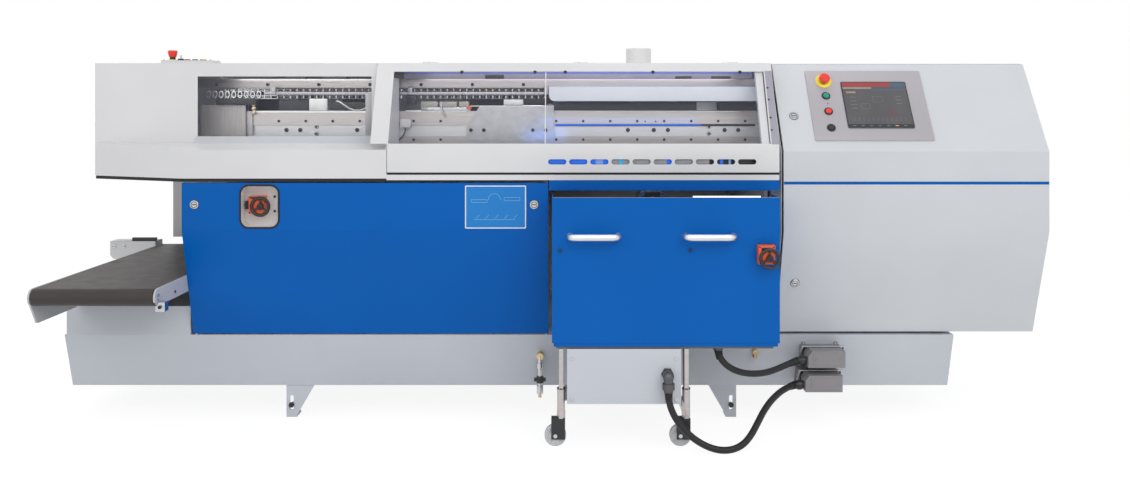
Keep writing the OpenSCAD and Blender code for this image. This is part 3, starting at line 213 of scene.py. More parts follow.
def surface(name, base, contrast, rough, noises, bump, **more):
    """A solid surface. noises holds grain()'s arguments for its colour, its roughness and its
    bumps; contrast and rough hold the two ends that the first two vary between, and bump the
    strength and depth of the third."""
    material, tree, shader = new_material(name)
    clouds, gloss, relief = (grain(tree, *noise) for noise in noises)
    height = {"Height": relief, "Strength": bump[0], "Distance": bump[1]}
    connect(tree, shader, {
        "Base Color": tinted(tree, clouds, *(shade(base, amount) for amount in contrast)),
        "Roughness": spread(tree, gloss, *rough),
        "Normal": add_node(tree, "Bump", height, "Normal"),
        **more,
    })
    return material


def powder_coat(name, base, rough=0.42, texture=0.12, shine=0.5):
    """Fine orange-peel paint, a little cloudy and a little duller in places."""
    return surface(
        name, base, (0.95, 1.03), (rough - 0.06, rough + 0.08),
        ((2.2, 3), (9, 4), (620, 2)), (texture, 0.0003),
        **{"Specular IOR Level": shine, "Coat Weight": 0.16 * shine, "Coat Roughness": 0.25},
    )


def worked_metal(name, base, rough=0.33, streak=EVEN, contrast=0.10, scratch=0.10):
    """Milled, ground or plated metal with its machining marks."""
    return surface(
        name, base, (1 - contrast, 1 + contrast), (rough - 0.08, rough + 0.12),
        ((14, 5, streak, 0.6), (30, 4, streak), (60, 3, streak)), (scratch, 0.0002),
        Metallic=1.0,
    )


def plastic(name, base, rough=0.35, texture=0.05):
    """Moulded plastic with a faint spark texture."""
    return surface(
        name, base, (0.93, 1.05), (rough - 0.04, rough + 0.06),
        ((40, 2), (90, 2), (1500, 1)), (texture, 0.0001),
    )


def rubber(name, base, rough=0.62, weave=EVEN, scale=900, shine=0.3):
    """Matt rubber or coated fabric with a fine surface texture."""
    return surface(
        name, base, (0.93, 1.07), (rough - 0.04, rough + 0.04),
        ((7, 4), (18, 3), (scale, 2, weave)), (0.25, 0.0003), **{"Specular IOR Level": shine},
    )


def clear_pane(name, tint, alpha):
    """Clear polycarbonate with a faint smear in its gloss."""
    material, tree, shader = new_material(name)
    smear = spread(tree, grain(tree, 5, 3), 0.03, 0.12)
    connect(tree, shader, {"Base Color": (*tint, 1), "Alpha": alpha, "Roughness": smear})
    return material


def lit(name, base, strength):
    """A surface that gives off a little light, such as a screen or a lamp, and also painted light
    on walls and behind slots.
    """
    material, tree, shader = new_material(name)
    glow = tinted(tree, grain(tree, 12, 2), shade(base, 0.92), shade(base, 1.08))
    connect(tree, shader, {"Base Color": glow, "Emission Color": glow})
    connect(tree, shader, {"Emission Strength": strength, "Roughness": 0.25})
    return material


def finish_rows(colours):
    """Every finish of the machine, by its maker: the name that pieces use and its values."""
    # painted shade: inward faces get the cover paint darkened
    inner = shade(colours.cover, 0.86)
    return {
        powder_coat: (
            ("cover", "cover_paint", colours.cover, 0.46, 0.16),
            ("cabinet", "cabinet_paint", colours.cabinet, 0.44, 0.14),
            ("base", "base_paint", colours.base, 0.40, 0.10),
            ("blue", "blue_paint", colours.blue, 0.36, 0.08, 0.12),
            ("stripe", "stripe_film", colours.stripe, 0.32, 0.0, 0.12),
            ("inside", "inside_paint", inner, 0.5, 0.1),
            ("tray", "tray_paint", (0.80, 0.84, 0.92), 0.35, 0.05),
            ("plate", "operator_panel_paint", colours.plate, 0.38, 0.06),
            ("iron", "tank_coating", (0.035, 0.035, 0.038), 0.55, 0.3),
            ("connector", "connector_coating", (0.25, 0.24, 0.25), 0.5, 0.3),
            # painted shade: the sill face under the left window, darker than the cover
            ("sill", "sill_paint", (0.53, 0.55, 0.585), 0.4, 0.08),
            ("cream", "cream_coating", (0.44, 0.42, 0.36), 0.4, 0.08),
            ("grey_tray", "recess_paint", (0.80, 0.79, 0.78), 0.45, 0.1),
            ("trim", "edge_trim", (0.30, 0.27, 0.26), 0.45, 0.05),
            # painted shade: the darker violet-grey strip on the hood's right border
            ("shaded", "side_border", (0.36, 0.35, 0.42), 0.5, 0.05, 0.3),
            ("box_side", "box_side_paint", (0.10, 0.105, 0.115), 0.5, 0.1),
            ("side_plate", "side_plate", (0.56, 0.56, 0.57), 0.5, 0.1, 0.3),
            ("spigot", "galvanised", (0.74, 0.735, 0.74), 0.42, 0.05),
            ("diagram", "diagram_blue", (0.028, 0.225, 0.60), 0.4, 0.0, 0.12),
            ("diagram_line", "diagram_line", (0.22, 0.46, 0.70), 0.4, 0.0, 0.12),
        ),
        worked_metal: (
            ("aluminium", "milled_aluminium", (0.52, 0.49, 0.48), 0.36, (0.6, 40, 40), 0.12),
            ("block", "ground_block", (0.44, 0.42, 0.41), 0.52, (30, 8, 1), 0.14),
            ("angle", "angle_plate", (0.46, 0.46, 0.48), 0.38, (2, 20, 3), 0.10),
            ("steel", "bright_steel", (0.55, 0.56, 0.58), 0.24, (2, 30, 30), 0.08, 0.05),
            ("zinc", "zinc_plate", (0.47, 0.48, 0.50), 0.36, EVEN, 0.12),
            ("brass", "brass", (0.60, 0.45, 0.24), 0.30, (1, 1, 8), 0.10),
            ("chain", "oiled_chain", (0.17, 0.145, 0.135), 0.48, EVEN, 0.30, 0.2),
            ("screw", "black_screw", (0.05, 0.05, 0.055), 0.38, EVEN, 0.15),
            ("plate_white", "plated_bar", (0.66, 0.66, 0.67), 0.42, (1, 20, 20), 0.06),
            # painted light: a brighter copy of the chain's metal for the lit links in the left
            # window
            ("link_bright", "bright_links", (0.74, 0.73, 0.72), 0.28, EVEN, 0.06),
            # painted highlight for the rails' top edges, and the bright rings of the fittings
            ("lip", "polished_edge", (0.80, 0.79, 0.78), 0.22, (1, 30, 30), 0.05),
            ("gland", "black_gland", (0.12, 0.12, 0.125), 0.42, EVEN, 0.15),
            ("handle", "satin_handle", (0.72, 0.72, 0.73), 0.36, (2, 1, 1), 0.05, 0.04),
        ),
        plastic: (
            ("red", "red_cap", colours.red, 0.28),
            ("green", "green_cap", colours.green, 0.28),
            ("yellow", "yellow_ring", colours.yellow, 0.34),
            ("black", "black_plastic", (0.020, 0.020, 0.022), 0.36, 0.1),
            ("orange", "orange_housing", colours.orange, 0.34, 0.08),
            ("white", "white_plastic", (0.78, 0.78, 0.78), 0.34),
            ("hose", "white_hose", (0.62, 0.62, 0.60), 0.3),
            ("slot_grey", "slot_backing", (0.33, 0.33, 0.36), 0.4),
            ("hub", "wheel_hub", (0.66, 0.67, 0.68), 0.4),
            ("rail_black", "black_rail", (0.03, 0.03, 0.032), 0.3),
        ),
        rubber: (
            ("belt", "belt_face", colours.belt, 0.46, EVEN, 700, 0.2),
            ("seal", "seal_rubber", (0.018, 0.018, 0.020), 0.55),
            ("sheath", "cable_sheath", (0.022, 0.021, 0.023), 0.45, EVEN, 400),
            ("tread", "wheel_tread", (0.52, 0.54, 0.56), 0.5),
            ("brush", "brush_fibre", (0.035, 0.03, 0.03), 0.8, (1, 1, 0.02), 500),
        ),
        clear_pane: (("pane", "clear_pane", (0.62, 0.66, 0.84), 0.03),),
        lit: (
            ("screen", "screen_grey", (0.085, 0.083, 0.09), 0.05),
            ("screen_red", "screen_red", (0.30, 0.045, 0.05), 0.10),
            ("screen_blue", "screen_blue", (0.06, 0.095, 0.15), 0.15),
            ("screen_tan", "screen_tan", (0.28, 0.24, 0.20), 0.12),
            ("screen_dark", "screen_dark", (0.02, 0.03, 0.04), 0.02),
            ("screen_line", "screen_line", (0.16, 0.16, 0.175), 0.06),
            ("glow", "work_light", colours.glow, 0.42),
            # painted light: softer glow in parts of the slots, and a cyan glow on a grey backing
            ("glow_soft", "work_light_soft", (0.16, 0.28, 0.62), 0.25),
            ("lamp", "lamp_strip", (0.95, 0.95, 0.92), 0.8),
            ("cyan", "status_light", (0.01, 0.36, 0.66), 0.35),
            ("amber", "amber_light", (0.75, 0.28, 0.03), 0.5),
            # painted light: glow of the hood's lamps on the wall over the beam, violet below and
            # blue above
            ("lavender", "lit_wall", (0.25, 0.235, 0.29), 0.08),
            ("lavender_blue", "lit_wall_top", (0.13, 0.17, 0.42), 0.16),
        ),
    }


FINISHES = {}


# ---- shapes ----
# metres, then degrees
WELD_DISTANCE = 1e-6
SMOOTH_BELOW = 38
FLAT_BELOW = 0.6
BLOCK_EDGE_ABOVE = 50
NODE_EDGE_ABOVE = 32


def mesh_of(name, bm):
    """A mesh made from bm, which is used up."""
    mesh = bpy.data.meshes.new(name)
    bm.to_mesh(mesh)
    bm.free()
    return mesh


def linked(name, data):
    """A new object of the scene."""
    made = bpy.data.objects.new(name, data)
    bpy.context.scene.collection.objects.link(made)
    return made


def joined(bm, part):
    """Adds a finished part to a piece's mesh."""
    mesh = mesh_of("part", part)
    bm.from_mesh(mesh)
    bpy.data.meshes.remove(mesh)


def rounded(bm, edges, width, segments=2):
    bmesh.ops.bevel(
        bm, geom=edges, offset=width * MM, offset_type="OFFSET", affect="EDGES",
        segments=segments, profile=0.5, clamp_overlap=True, material=-1,
    )


def sharp_edges(bm, degrees):
    return [
        edge for edge in bm.edges
        if len(edge.link_faces) == 2 and edge.calc_face_angle(0) > math.radians(degrees)
    ]


def edges_along(bm, axis, length):
    """A box's edges that run along one of its axes, whose length is in mm."""
    return [
        edge for edge in bm.edges
        if abs((edge.verts[0].co - edge.verts[1].co)[axis]) > 0.5 * length * MM
    ]


def painted(part, index):
    for face in part.faces:
        face.material_index = index


def settled(bm, part, matrix, finish):
    """Puts a finished part in its place in a piece."""
    bmesh.ops.transform(part, matrix=matrix, verts=part.verts)
    painted(part, finish)
    joined(bm, part)


def add_block(bm, low, high, finish=0, edge=0.5, seat=None, corner=0.0):
    """A block between two corners in mm, or in mm in the frame of seat where one is given.
    corner rounds the edges along the block's thinnest way, as on a plate."""
    low, high = Vector(low), Vector(high)
    size = high - low
    middle = (low + high) / 2
    part = bmesh.new()
    bmesh.ops.create_cube(part, size=1, matrix=Matrix.Diagonal((*(size * MM), 1)))
    if corner:
        thin = min(range(3), key=lambda axis: size[axis])
        rounded(part, edges_along(part, thin, size[thin]), corner, 5)
    if edge:
        rounded(part, sharp_edges(part, BLOCK_EDGE_ABOVE), edge)
    shift = at(*middle) if seat is None else middle * MM
    bmesh.ops.translate(part, vec=shift, verts=part.verts)
    settled(bm, part, seat or Matrix(), finish)


def add_blocks(bm, rows, seat=None):
    """Blocks from rows of their two corners, their finish and the rounding of their edges."""
    for low, high, finish, edge in rows:
        add_block(bm, low, high, finish, edge, seat)


def add_turned(bm, matrix, outline, finish=0, steps=32):
    """A turned shape: outline holds (radius, height) in mm, from its bottom to its top."""
    part = bmesh.new()
    verts = [part.verts.new((radius * MM, 0, height * MM)) for radius, height in outline]
    edges = [part.edges.new(pair) for pair in zip(verts, verts[1:])]
    bmesh.ops.spin(
        part, geom=verts + edges, cent=(0, 0, 0), axis=UPWARDS, dvec=(0, 0, 0),
        angle=math.tau, steps=steps, use_merge=True,
    )
    bmesh.ops.remove_doubles(part, verts=part.verts, dist=WELD_DISTANCE)
    bmesh.ops.recalc_face_normals(part, faces=part.faces)
    settled(bm, part, matrix, finish)


def disc(radius, low, high, edge=0.4):
    """The outline of a plain round with broken edges, for add_turned."""
    return [
        (0, low), (radius - edge, low), (radius, low + edge),
        (radius, high - edge), (radius - edge, high), (0, high),
    ]


def ring(inner, outer, low, high, edge=0.3):
    """The closed outline of a ring, for add_turned."""
    return [(inner, low), *disc(outer, low, high, edge)[1:-1], (inner, high), (inner, low)]


def add_rod(bm, start, end, radius, finish=0):
    """A rod between two places in mm."""
    line = Vector(end) - Vector(start)
    add_turned(bm, place(*start, axis=line), disc(radius, 0, line.length), finish, 24)


def add_screw(bm, x, y, z, radius, finish=0, height=None, axis=FORWARDS):
    """A socket head with its recess."""
    height = height or radius
    outline = [
        (0, 0), (radius, 0), (radius, height * 0.85), (radius * 0.88, height),
        (radius * 0.55, height), (radius * 0.5, height * 0.35), (0, height * 0.3),
    ]
    add_turned(bm, place(x, y, z, axis), outline, finish, 16)


def add_loop(bm, points, radius, finish=0, sides=10, closed=False, seat=None):
    """A round bar swept along points in mm, in the frame of seat where one is given."""
    part = bmesh.new()
    count = len(points)
    track = [Vector(p) * MM for p in points]
    rings = []
    for i, point in enumerate(track):
        before = track[i - 1] if closed or i else point
        after = track[(i + 1) % count] if closed or i < count - 1 else point
        turn = (after - before).normalized().to_track_quat("Z", "Y").to_matrix().to_4x4()
        verts = bmesh.ops.create_circle(
            part, cap_ends=not closed and i in (0, count - 1), segments=sides,
            radius=radius * MM, matrix=Matrix.Translation(point) @ turn,
        )["verts"]
        rings.append([e for e in part.edges if e.verts[0] in verts and e.verts[1] in verts])
    pairs = list(zip(rings, rings[1:])) + ([(rings[-1], rings[0])] if closed else [])
    for first, second in pairs:
        bmesh.ops.bridge_loops(part, edges=first + second)
    bmesh.ops.remove_doubles(part, verts=part.verts, dist=0.1 * WELD_DISTANCE)
    bmesh.ops.recalc_face_normals(part, faces=part.faces)
    settled(bm, part, seat or Matrix.Translation(at(0, 0, 0)), finish)


def finished(name, bm, body, finishes, node=None):
    """Makes the object of a piece, smooth but for its sharp edges, and lets it ride. node is the
    CAD node that it stands in for."""
    mesh = mesh_of(name, bm)
    mesh.polygons.foreach_set("use_smooth", [True] * len(mesh.polygons))
    mesh.set_sharp_from_angle(angle=math.radians(SMOOTH_BELOW))
    piece = linked(name, mesh)
    for finish in finishes:
        mesh.materials.append(FINISHES[finish])
    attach(piece, body)
    if node:
        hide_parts(node)
    return piece


def merged_copy(node):
    """A CAD node's mesh as one surface, with its flat faces whole."""
    bm = bmesh.new()
    bm.from_mesh(frame["nodes"][node].data)
    bmesh.ops.remove_doubles(bm, verts=bm.verts, dist=2 * WELD_DISTANCE)
    bmesh.ops.dissolve_limit(
        bm, angle_limit=math.radians(FLAT_BELOW), use_dissolve_boundaries=False,
        verts=bm.verts, edges=bm.edges,
    )
    return bm


def softened(node, finishes, edge=0.8, pick=None, extra=None):
    """A sheet or casting from its CAD node with its edges broken. pick gives a face's finish from
    its middle in mm, and extra adds detail to the same piece before it is finished."""
    bm = merged_copy(node)
    rounded(bm, sharp_edges(bm, NODE_EDGE_ABOVE), edge)
    if pick:
        for face in bm.faces:
            chosen = pick(in_mm(face.calc_center_median()), face.normal)
            face.material_index = finishes.index(chosen)
    if extra:
        extra(bm)
    piece = finished(node + "_skin", bm, BODY_OF[node], finishes)
    weighted = piece.modifiers.new("even_shading", "WEIGHTED_NORMAL")
    weighted.keep_sharp = True
    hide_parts(node)


# ---- stage ----
IMAGE_W, IMAGE_H = 1130, 500
SENSOR_MM = 36
FOCAL_PX = 1000
HORIZON_ROW = 104
CAMERA_X_MM = 1860
CAMERA_DISTANCE_MM = 3600
CAMERA_HEIGHT_MM = 1184.4
FLOOR_SIZE = 14
FLOOR_WHITE_SHARE, FLOOR_WHITE_STRENGTH = 0.80, 1.12
ROOM_LIGHT = 0.62
LIT_BLUE = (0.05, 0.28, 1)
# name, watts, size in metres, place, what it looks at
STUDIO_LAMPS = (
    ("key", 84, (4.5, 2.2), (1.8, -4.7, 3.7), (0.1, 0, 0.75)),
    ("fill", 34, (4.5, 2.2), (-3.4, -4.4, 2.8), (-0.3, 0, 0.7)),
    ("top", 40, (5.0, 2.5), (0.0, 0.5, 4.4), (0, 0, 1.0)),
)
# the same with places in mm, and the light's colour
MACHINE_LAMPS = (
    ("hood_lamp", 0.7, (1.25, 0.07), (1925, 232, 1326), (1925, 300, 1150), (0.92, 0.90, 1)),
    ("window_lamp", 0.4, (0.56, 0.07), (810, 238, 1322), (810, 300, 1150), (1, 1, 1)),
    ("blue_lamp", 0.03, (0.16, 0.03), (1780, 190, 1062), (1765, 290, 1084), LIT_BLUE),
    ("line_lamp", 0.03, (0.62, 0.01), (2070, 250, 1122), (2070, 295, 1094), LIT_BLUE),
)


def calculated(tree, operation, first, second):
    result = add_node(tree, "Math", {0: first, 1: second})
    result.node.operation = operation
    return result


def seen_directly(tree):
    """1 for what the camera, a reflection or a pane sees, 0 for the light that falls on things."""
    path = tree.nodes.new("ShaderNodeLightPath")
    seen = path.outputs["Is Camera Ray"]
    for ray in ("Is Glossy Ray", "Is Transmission Ray"):
        seen = calculated(tree, "MAXIMUM", seen, path.outputs[ray])
    return seen


def seen_as_white(tree, shader):
    """Mixes in plain white for what is seen directly, so that the floor stays pale."""
    inputs = {
        "Fac": calculated(tree, "MULTIPLY", seen_directly(tree), FLOOR_WHITE_SHARE),
        1: shader.outputs["BSDF"],
        2: add_node(tree, "Emission", {"Strength": FLOOR_WHITE_STRENGTH}),
    }
    mixed = add_node(tree, "MixShader", inputs)
    connect(tree, tree.nodes["Material Output"], {"Surface": mixed})


def white_world():
    """White where it is seen directly, and a softer even light on the machine."""
    world = bpy.data.worlds.new("studio")
    world.use_nodes = True
    bpy.context.scene.world = world
    tree = world.node_tree
    inputs = {"Value": seen_directly(tree), "To Min": ROOM_LIGHT, "To Max": 1.0}
    strength = add_node(tree, "MapRange", inputs, "Result")
    connect(tree, tree.nodes["Background"], {"Color": (1, 1, 1, 1), "Strength": strength})


def soft_light(name, watts, size, where, towards):
    """A rectangular lamp in metres that looks at a place in metres."""
    lamp = bpy.data.lights.new(name, "AREA")
    lamp.shape = "RECTANGLE"
    lamp.size, lamp.size_y = size
    lamp.energy = watts
    holder = linked(name, lamp)
    holder.location = where
    line = Vector(towards) - Vector(where)
    holder.rotation_euler = line.to_track_quat("-Z", "Y").to_euler()
    return holder


class BINDER_OT_stage(Operator):
    """Camera at the photograph's viewing angle, pale floor and soft studio light"""

    bl_idname = "binder.stage"
    bl_label = "Stage"

    def execute(self, context):
        camera = bpy.data.cameras.new("camera")
        camera.sensor_width = SENSOR_MM
        camera.lens = SENSOR_MM * FOCAL_PX / IMAGE_W
        camera.shift_y = (HORIZON_ROW - IMAGE_H / 2) / IMAGE_W
        holder = linked("camera", camera)
        holder.location = at(CAMERA_X_MM, -CAMERA_DISTANCE_MM, CAMERA_HEIGHT_MM)
        holder.rotation_euler = (math.radians(90), 0, 0)
        context.scene.camera = holder
        context.scene.view_settings.view_transform = "Standard"

        floor = bmesh.new()
        bmesh.ops.create_grid(floor, x_segments=1, y_segments=1, size=FLOOR_SIZE)
        ground = linked("floor", mesh_of("floor", floor))
        material, tree, shader = new_material("floor")
        connect(tree, shader, {"Base Color": (0.9, 0.9, 0.9, 1), "Roughness": 0.8})
        seen_as_white(tree, shader)
        ground.data.materials.append(material)

        white_world()
        for row in STUDIO_LAMPS:
            soft_light(*row)
        for name, watts, size, where, towards, tint in MACHINE_LAMPS:
            holder = soft_light(name, watts, size, at(*where), at(*towards))
            holder.data.color = tint
            holder.visible_camera = False
        return {"FINISHED"}


# ---- cables ----
CABLES_MM = {
    "cable_lower": [
        (2213, -191, 202), (2214, -192, 178), (2222, -196, 145), (2240, -202, 110),
        (2268, -208, 76), (2304, -214, 46), (2346, -217, 24), (2388, -216, 13), (2430, -207, 13),
        (2468, -188, 24), (2500, -160, 46), (2528, -126, 74), (2558, -86, 104), (2594, -44, 130),
        (2636, -2, 149), (2676, 32, 158), (2702, 50, 160),
    ],
    "cable_upper": [
        (2396, -96, 324), (2400, -95, 306), (2412, -92, 284), (2434, -86, 262), (2466, -74, 243),
        (2504, -56, 230), (2546, -34, 223), (2590, -8, 222), (2632, 18, 228), (2672, 39, 238),
        (2712, 50, 248),
    ],
}
RIB_COUNT = 5
RIB_PITCH = 7
RIB_HEIGHT = 3.4


def smooth_track(points, steps=4):
    """Places along a smooth line through points, with steps between each two."""
    track = []
    for i in range(len(points) - 1):
        p0, p1 = Vector(points[max(i - 1, 0)]), Vector(points[i])
        p2, p3 = Vector(points[i + 1]), Vector(points[min(i + 2, len(points) - 1)])
        for k in range(steps):
            t = k / steps
            track.append(
                0.5 * (2 * p1 + (p2 - p0) * t + (2 * p0 - 5 * p1 + 4 * p2 - p3) * t**2
                + (3 * p1 - p0 - 3 * p2 + p3) * t**3)
            )
    track.append(Vector(points[-1]))
    return track


class BINDER_OT_cables(Operator):
    """The two cables of the gluing unit, as smooth sheathed tubes with ribbed bend reliefs"""

    bl_idname = "binder.cables"
    bl_label = "Cables"

    def execute(self, context):
        thick = context.scene.binder_sizes.cable_d / MM
        for name, points in CABLES_MM.items():
            track = [at(*point) for point in smooth_track(points)]
            bm = bmesh.new()
            add_loop(bm, [point / MM for point in track], thick / 2, 0, 20, seat=Matrix())
            for first, second in ((0, 1), (-1, -2)):
                line = Vector(points[second]) - Vector(points[first])
                seat = place(*points[first], axis=line)
                for i in range(RIB_COUNT):
                    low, outer = RIB_PITCH * i + 1, thick / 2 + RIB_HEIGHT - 0.5 * i
                    add_turned(bm, seat, ring(thick / 2, outer, low, low + 4, 1), 1, 24)
            piece = finished(
                name + "_sheath", bm, BODY_OF[name], ["sheath", "black"], name
            )
        return {"FINISHED"}


# ---- covers ----
UPPER_FACE_Y = 158
COVER_TOP_Z = 1338
BAND_BOTTOM_Z = 910
HOOD_FOLD_Z = 1038
HOOD_SLOPE = math.degrees(math.atan2(300, 150))
SLOPE_FASTENER_XS = (1475, 1748, 1861, 2188, 2513)
SLOT_FIRST_X = 1832
SLOT_PITCH = 76
SLOT_Z = 976
VENT_PITCH = 17


def cover_finish(mid, normal):
    # painted shade: the sill face under the left window is given a darker grey
    if -25 < mid.y - UPPER_FACE_Y < 1 and 1041 < mid.z < 1063 and 480 < mid.x < 1133:
        return "sill"
    behind = mid.y > UPPER_FACE_Y + 3 and 97 < mid.x < 1217
    # inward faces take the darker inside paint, painted shade
    inner = (normal.z < -0.5 and mid.z > 1300) or normal.y > 0.5 or behind
    return "inside" if inner and mid.y > 3.5 else "cover"


def trim_finish(mid, normal):
    if mid.y < 4.2 and mid.z < BAND_BOTTOM_Z + 0.2 and mid.x > 1802:
        return "blue"
    under_band = mid.z < BAND_BOTTOM_Z + 0.1
    if mid.y < 26 and (under_band or (mid.x < 1216.5 and mid.z < BAND_BOTTOM_Z + 6.2)):
        return "seal"
    return "inside" if mid.y > 21 else "cover"


def rear_finish(mid, normal):
    if mid.z > COVER_TOP_Z + 0.5:
        return "steel"
    return "inside" if normal.y < -0.5 else "cover"


def hood_finish(mid, normal):
    return "inside" if normal.y > 0.7 and mid.y < 300 else "cover"


class BINDER_OT_covers(Operator):
    """Plinth, left cover, rear cover, seals and the light strip, as folded and painted sheet"""

    bl_idname = "binder.covers"
    bl_label = "Covers"

    def execute(self, context):
        edge = context.scene.binder_sizes.edge / MM
        softened("base_plinth", ["base"], edge)
        softened("left_cover", ["cover", "inside", "sill"], edge, cover_finish)
        softened("cover_trims", ["cover", "seal", "blue", "inside"], 0.6, trim_finish, trim_seals)
        rear = ["cover", "steel", "inside", "seal", "screw"]
        softened("rear_cover", rear, edge, rear_finish, rear_details)
        return {"FINISHED"}


def trim_seals(bm):
    """Black lips in the joint under the hood and under the angled end of the left band."""
    add_block(bm, (1219, -0.4, 929.6), (2631, 6, 937.3), 1, 0.2)
    run = Vector((478 - 96, 1 - 159))
    corner = Matrix.Translation(at(96, 159, 0)) @ Matrix.Rotation(math.atan2(run.y, run.x), 4, "Z")
    add_block(bm, (0, 1, 904), (run.length, 9, 915.5), 1, 0.2, corner)


def add_vents(bm, left, right, low, count, back, finish):
    """A field of ventilation slots on a wall that faces backwards."""
    for i in range(count):
        z = low + VENT_PITCH * i
        add_block(bm, (left, back[0], z), (right, back[1], z + 6), finish, 0.2)


def rear_details(bm):
    """Joints, screws and ventilation slots of the rear skin."""
    for x in (900, 1500, 2080):
        add_block(bm, (x - 1.5, 1042.4, 345), (x + 1.5, 1043.1, 1325), 3, 0.2)
    for x in (120, 870, 930, 1470, 1530, 2050, 2110, 2615):
        for z in (365, 840, 1310):
            add_screw(bm, x, 1041.1, z, 6.5, 4, 2, BACKWARDS)
    for x in (480, 2350):
        add_vents(bm, x - 90, x + 90, 420, 9, (1042.6, 1043.1), 3)


class BINDER_OT_hood(Operator):
    """Hinged hood with its fasteners, grip seal and light tray"""

    bl_idname = "binder.hood"
    bl_label = "Hood"

    def execute(self, context):
        edge = context.scene.binder_sizes.edge / MM
        finishes = ["cover", "inside", "screw", "seal", "steel", "shaded"]
        softened("hood", finishes, edge, hood_finish, hood_details)
        self.painted_glow_tray()
        return {"FINISHED"}

    def painted_glow_tray(self):
        """Glowing pieces behind the band's slots, from left to right, on a dark tray: painted light
        for the blue work light seen through the slots, softer and cyan in places.
        """
        names = ["black", "glow", "glow_soft", "slot_grey", "cyan"]
        bright, soft, grey, cyan = 1, 2, 3, 4
        # each slot's pieces: bright and soft painted glow, grey backing and a cyan painted glow
        rows = [
            [(0, 66, bright)], [(0, 66, bright)],
            [(0, 20, bright), (20, 46, soft), (46, 66, bright)],
            [(0, 28, grey), (28, 42, cyan), (42, 66, grey)], [(0, 66, grey)],
            [(0, 48, grey), (48, 66, bright)], [(0, 66, grey)], [(0, 50, grey)],
            [(12, 24, bright), (44, 52, soft)],
        ]
        bm = bmesh.new()
        add_blocks(bm, (
            ((1780, 18, 941), (2600, 20, 996), 0, 0.4),
            ((1780, 3.2, 941.2), (2600, 20, 943), 0, 0.3),
        ))
        for i, row in enumerate(rows):
            left = SLOT_FIRST_X + SLOT_PITCH * i - 33
            for start, end, finish in row:
                low, high = (left + start, 10, SLOT_Z - 14), (left + end, 18.2, SLOT_Z + 14)
                add_block(bm, low, high, finish, 0.6)
        finished("painted_glow_tray", bm, "hood", names)


def hood_details(bm):
    """Fasteners on the upper border, the right border and a rubber lip on the lower return, and a
    strip of painted shade on the right border.
    """
    knob = [(0, 0), (6.5, 0), (6.5, 1.6), (5.6, 2.4), (3, 2.4), (2.6, 1.0), (0, 0.9)]
    for x in SLOPE_FASTENER_XS:
        add_turned(bm, tilted(x, 0, HOOD_FOLD_Z, HOOD_SLOPE) @ moved(0, 296.5), knob, 2, 20)
    right = tilted(2571, 0, HOOD_FOLD_Z, HOOD_SLOPE)
    add_blocks(bm, (
        ((0, 1, -14), (27.5, 316, -8.4), 0, 0.8),
        ((30, 6, -2.8), (34, 298, -0.4), 0, 0.3),
        # painted shade: a darker strip laid over the right border, where shade falls
        ((34.5, 1, -0.4), (60.4, 302, 0.25), 5, 0),
    ), right)
    button = [(0, 0), (3.8, 0), (3.8, 0.9), (3, 1.6), (0, 1.7)]
    for along in (58.2, 108.5, 181.9, 230.8):
        add_turned(bm, right @ moved(39, along), button, 2, 16)
    split = tilted(1786.6, 0, HOOD_FOLD_Z, HOOD_SLOPE)
    add_block(bm, (0, 5, -3), (3.6, 297, -0.4), 0, 0.3, split)
    for x in range(1260, 2600, 120):
        add_block(bm, (x, 4.0, 938.8), (x + 60, 21, 940.8), 3, 0.4)
    for x in (1300, 1890, 2480):
        for dx in (8, 22):
            add_screw(bm, x + dx, 349, COVER_TOP_Z + 2.6, 4, 4, 2, UPWARDS)
            add_screw(bm, x + 30.5 + dx, 322, COVER_TOP_Z + 2.6, 4, 4, 2, UPWARDS)


class BINDER_OT_windows(Operator):
    """Clear polycarbonate panes of the left cover and the hood, with broken edges"""

    bl_idname = "binder.windows"
    bl_label = "Windows"

    def execute(self, context):
        softened("left_window", ["pane"])
        softened("hood_windows", ["pane"])
        return {"FINISHED"}


# ---- mechanism ----
CHAIN_Y = 387
CHAIN_R = 90
CHAIN_ROWS = ((1204.6, 1218.4), (1233.6, 1244.6))
LINK_WIDTH, LINK_THICKNESS = 8.2, 1.9
ROLLER_R, PIN_R = 3.4, 1.9
SPROCKET_XS = (600, 2530)
RAIL_Y = 294
BEAM_FRONT, BEAM_BOTTOM = 300, 1247


def rail_finish(mid, normal):
    if mid.x < 620.5 and mid.z > 1058:
        return "block" if mid.y > 281.5 else "screw"
    if 1478 < mid.x < 1818 and 281.5 < mid.y < RAIL_Y + 0.2:
        return "angle"
    if mid.y < RAIL_Y - 0.2 or (mid.y < 299.8 and 1061 < mid.z < 1099):
        return "screw"
    return "plate_white" if 1058 < mid.z < 1102 and mid.y < 301 else "aluminium"


def frame_finish(mid, normal):
    inside_mill = abs(mid.x - 1450) < 82 and abs(mid.y - 400) < 82 and mid.z < 799
    inside_drive = 2378 < mid.x < 2532 and 555 < mid.y < 702 and mid.z < 1203
    return "iron" if inside_mill or inside_drive else "inside"


